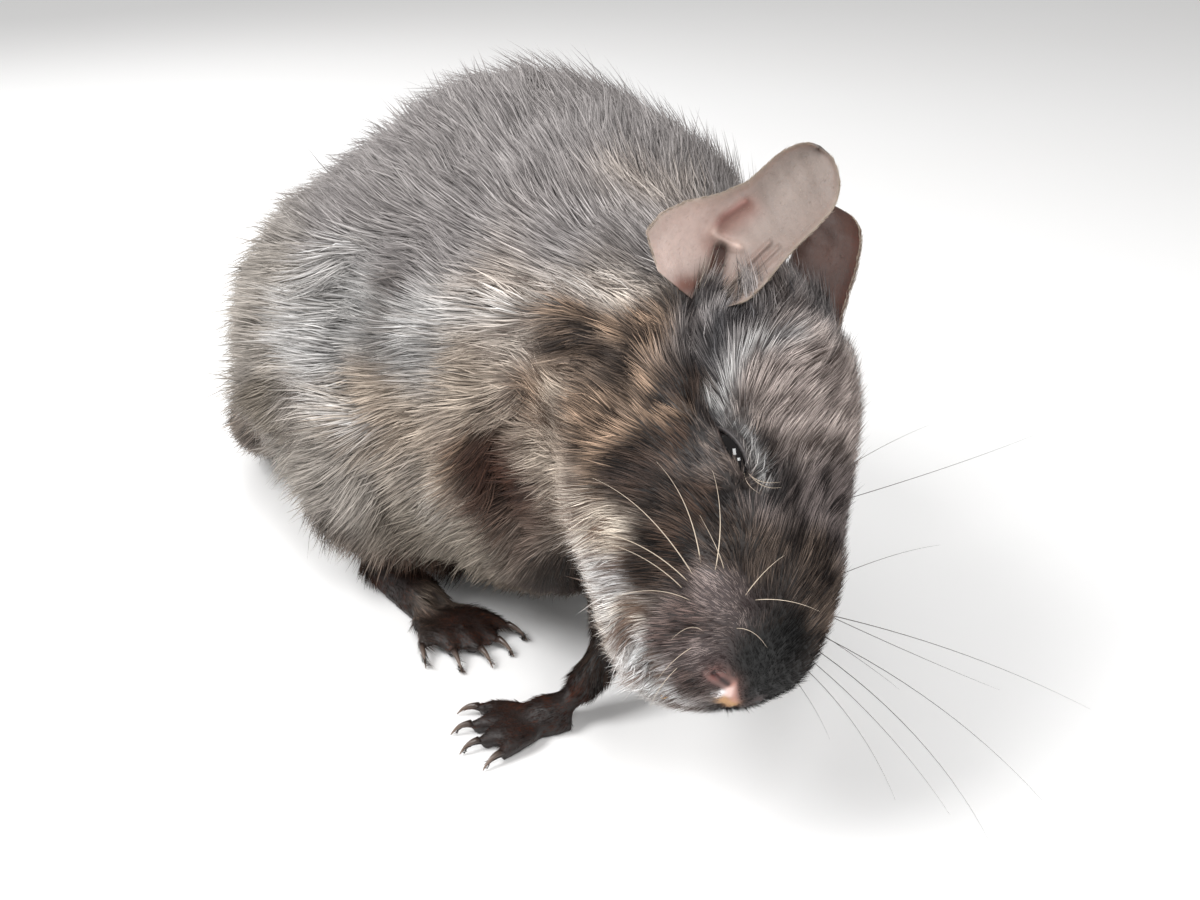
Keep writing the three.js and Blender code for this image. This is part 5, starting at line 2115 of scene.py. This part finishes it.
@dataclass(frozen=True)
class Brush:
    """The long dark hairs of the tail's end."""

    hairs: int = 2600
    start: float = 0.66
    shortest: float = 3.5
    longest: float = 12.0
    girth: float = 0.11

    def build(self) -> bpy.types.Object:
        """Returns the brush as one piece."""
        random = np.random.default_rng(SEED + 5)
        path, radii = Tail().path()
        share = self.start + (0.985 - self.start) * random.random(self.hairs) ** 0.75
        at = share * (len(path) - 1)
        low = at.astype(int)
        centre = path[low] + (path[low + 1] - path[low]) * (at - low)[:, None]
        way = unit(path[low + 1] - path[low])
        spin = random.uniform(0, 2 * math.pi, self.hairs)
        across = unit(np.cross(way, (0, 0, 1)))
        out = across * np.cos(spin)[:, None] + np.cross(across, way) * np.sin(spin)[:, None]
        grown = ramp(self.start, self.start + 0.12, share)
        length = self.shortest + (self.longest - self.shortest) * grown
        length = length * random.uniform(0.7, 1.05, self.hairs)
        left = np.linalg.norm(path[-1] - centre, axis=1)
        length = np.minimum(length, left + 3.4)
        root = centre + out * (radii[low] * 0.7)[:, None]
        way = unit(way + random.normal(0, 0.07, way.shape))
        middle = root + way * (length * 0.5)[:, None] + out * (length * 0.12)[:, None]
        tip = root + way * length[:, None] + out * (length * 0.1)[:, None]
        for ends in (root, middle, tip):
            ends[:, 2] = np.maximum(ends[:, 2], 0.25)
        paths = bow(root, middle, tip, 5)
        taper = self.girth * np.array([[1.0, 0.95, 0.75, 0.5, 0.1]])
        widths = taper * random.uniform(0.7, 1.1, (self.hairs, 1))
        points, faces = tubes(paths, widths, 3)
        piece = mesh_piece("tail_brush", points, faces)
        patch_map(piece, faces, np.stack([spin / (2 * math.pi), share], 1), tube_spread(5, 3))
        dark, light = linear(20, 17, 17), linear(86, 76, 70)
        tone = dark + (light - dark) * random.random((self.hairs, 1)) ** 2
        paint(piece, np.repeat(tone, 17, axis=0))
        return piece


# The studio


@dataclass(frozen=True)
class Studio:
    """The camera at the photo's angle, a plain pale floor and soft light."""

    camera: Point = (-137.7, -163.1, 117.0)
    azimuth: float = -45.0
    elevation: float = 25.0
    lens: float = 45.0
    sky: float = 0.55
    lamps: tuple[tuple[str, Point, float, float, float], ...] = (
        ("key", (-330, 60, 400), 0.22, 0.22, 2.0),
        ("glint", (-186, -252, 347), 0.06, 0.14, 0.62),
        ("low glint", (-183, -376, 210), 0.06, 0.06, 0.3),
        ("fill", (60, -420, 330), 0.2, 0.2, 0.1),
        ("rim", (60, 320, 320), 0.4, 0.4, 0.7),
    )

    def build(self) -> None:
        """Makes the camera, the floor and the lights."""
        lens = bpy.data.cameras.new("camera")
        lens.lens = self.lens
        lens.sensor_width = 36.0
        lens.clip_start = 0.005
        camera = placed("camera", lens)
        turn, rise = math.radians(self.azimuth), math.radians(self.elevation)
        back = Vector((math.sin(turn), -math.cos(turn), math.tan(rise)))
        camera.location = Vector(Place.metres(self.camera))
        camera.rotation_euler = back.to_track_quat("Z", "Y").to_euler()
        bpy.context.scene.camera = camera

        only(None)
        bpy.ops.mesh.primitive_plane_add(size=6.0)
        floor = bpy.context.active_object
        floor.name = "floor"
        ground = Shader("floor", Roughness=0.9, Specular_IOR_Level=0.1)
        cloud = ground.noise(4.0)
        tone = ground.mixed(cloud, (0.9, 0.89, 0.88, 1), (0.93, 0.93, 0.93, 1))
        ground.feed(ground.main.inputs["Base Color"], tone)
        ground.dress(floor)

        world = bpy.data.worlds.new("studio")
        world.use_nodes = True
        world.node_tree.nodes["Background"].inputs["Color"].default_value = (1, 1, 1, 1)
        world.node_tree.nodes["Background"].inputs["Strength"].default_value = self.sky
        bpy.context.scene.world = world
        bpy.context.scene.view_settings.view_transform = "Standard"
        for name, place, wide, tall, power in self.lamps:
            self.light(name, place, wide, tall, power)

    def light(self, name: str, place: Point, wide: float, tall: float, power: float) -> None:
        """Adds one soft rectangular light.

        Args:
            name: its name.
            place: where it hangs, in the animal's own measure.
            wide: its width in metres.
            tall: its height in metres.
            power: its power in watts.
        """
        lamp = bpy.data.lights.new(name, "AREA")
        lamp.shape = "RECTANGLE"
        lamp.size, lamp.size_y = wide, tall
        lamp.energy = power
        holder = placed(name, lamp)
        holder.location = Vector(Place.metres(place))
        aim = Vector(Place.metres((-10, -20, 40))) - holder.location
        holder.rotation_euler = aim.to_track_quat("-Z", "Y").to_euler()


# Putting it together


def unwrap(piece: bpy.types.Object) -> None:
    """Lays out a piece's own surface in a map named OFBake."""
    piece.data.uv_layers.new(name="OFBake")
    with editing(piece):
        bpy.ops.uv.smart_project(angle_limit=math.radians(66), island_margin=0.002)


def settle(piece: bpy.types.Object, shader: Shader, nodes: Sequence[str] = ()) -> None:
    """Dresses a finished piece and makes it part of the model.

    Args:
        piece: the piece.
        shader: its material.
        nodes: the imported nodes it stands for.
    """
    shader.dress(piece)
    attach(piece, "root")
    if nodes:
        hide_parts(*nodes)
    log.info("%s: %d faces", piece.name, len(piece.data.polygons))


def dress_body() -> bpy.types.Object:
    """Builds the skin, the coat and the tail's brush and returns the skin."""
    body = Skin()
    skin = body.build()
    unwrap(skin)
    bare = Finish("skin", 0.55, relief=0.12, glow=0.08).make()
    settle(skin, bare, (*body.nodes, "tail_middle"))
    coat = Finish("fur", 0.5, mottle=0.1, specular=0.14).make()
    for piece, slot in Fur(skin).build():
        settle(piece, coat)
    brush = Brush().build()
    settle(brush, Finish("brush", 0.42, mottle=0.1).make(), ("tail_end",))
    return skin


def dress_head(skin: bpy.types.Object) -> None:
    """Builds the ears, eyes, teeth and whiskers.

    Args:
        skin: the skin, on which the whiskers take root.
    """
    ears = (
        Ear("right", (-12.5, 11.6, 4.2), (-1.1, 13.8, 13.5), (-0.87, -0.23, 0.43), 1.0),
        Ear(
            "left",
            (10.5, 10, 5),
            (3.6, 18.3, 5),
            (0.95, -0.25, 0.15),
            -1.0,
            length=22.3,
            lobe=(0.36, 0.5, 0.5, 0.46, 0.37, 0.3, 0.26, 0.22, 0.2),
        ),
    )
    leather = Finish("ear", 0.62, mottle=0.16, grain=1400.0, relief=0.05, glow=0.15).make()
    down = Finish("down", 0.6, mottle=0.1, specular=0.3).make()
    for ear in ears:
        leaf, hair = ear.build(), ear.down()
        settle(leaf, leather, (f"ear_{ear.side}",))
        settle(hair, down)
    wet = Finish("eye", 0.05, mottle=0.05, specular=0.35).make()
    for side in EYE_PLACES:
        settle(Eye(side).build(), wet, (f"eye_{side}",))
    teeth = Incisors().build()
    settle(teeth, Finish("tooth", 0.3, mottle=0.08, glow=0.1).make(), ("incisors",))
    whiskers = Whiskers(skin).build()
    settle(whiskers, Finish("whisker", 0.35, mottle=0.05).make())


def main() -> None:
    """Builds the studio and the animal."""
    logging.basicConfig(level=logging.INFO, format="%(message)s")
    Studio().build()
    skin = dress_body()
    dress_head(skin)
    horn = Finish("claw", 0.35, mottle=0.15).make()
    for claws in Claws().build():
        settle(claws, horn)


if __name__ == "__main__":
    main()
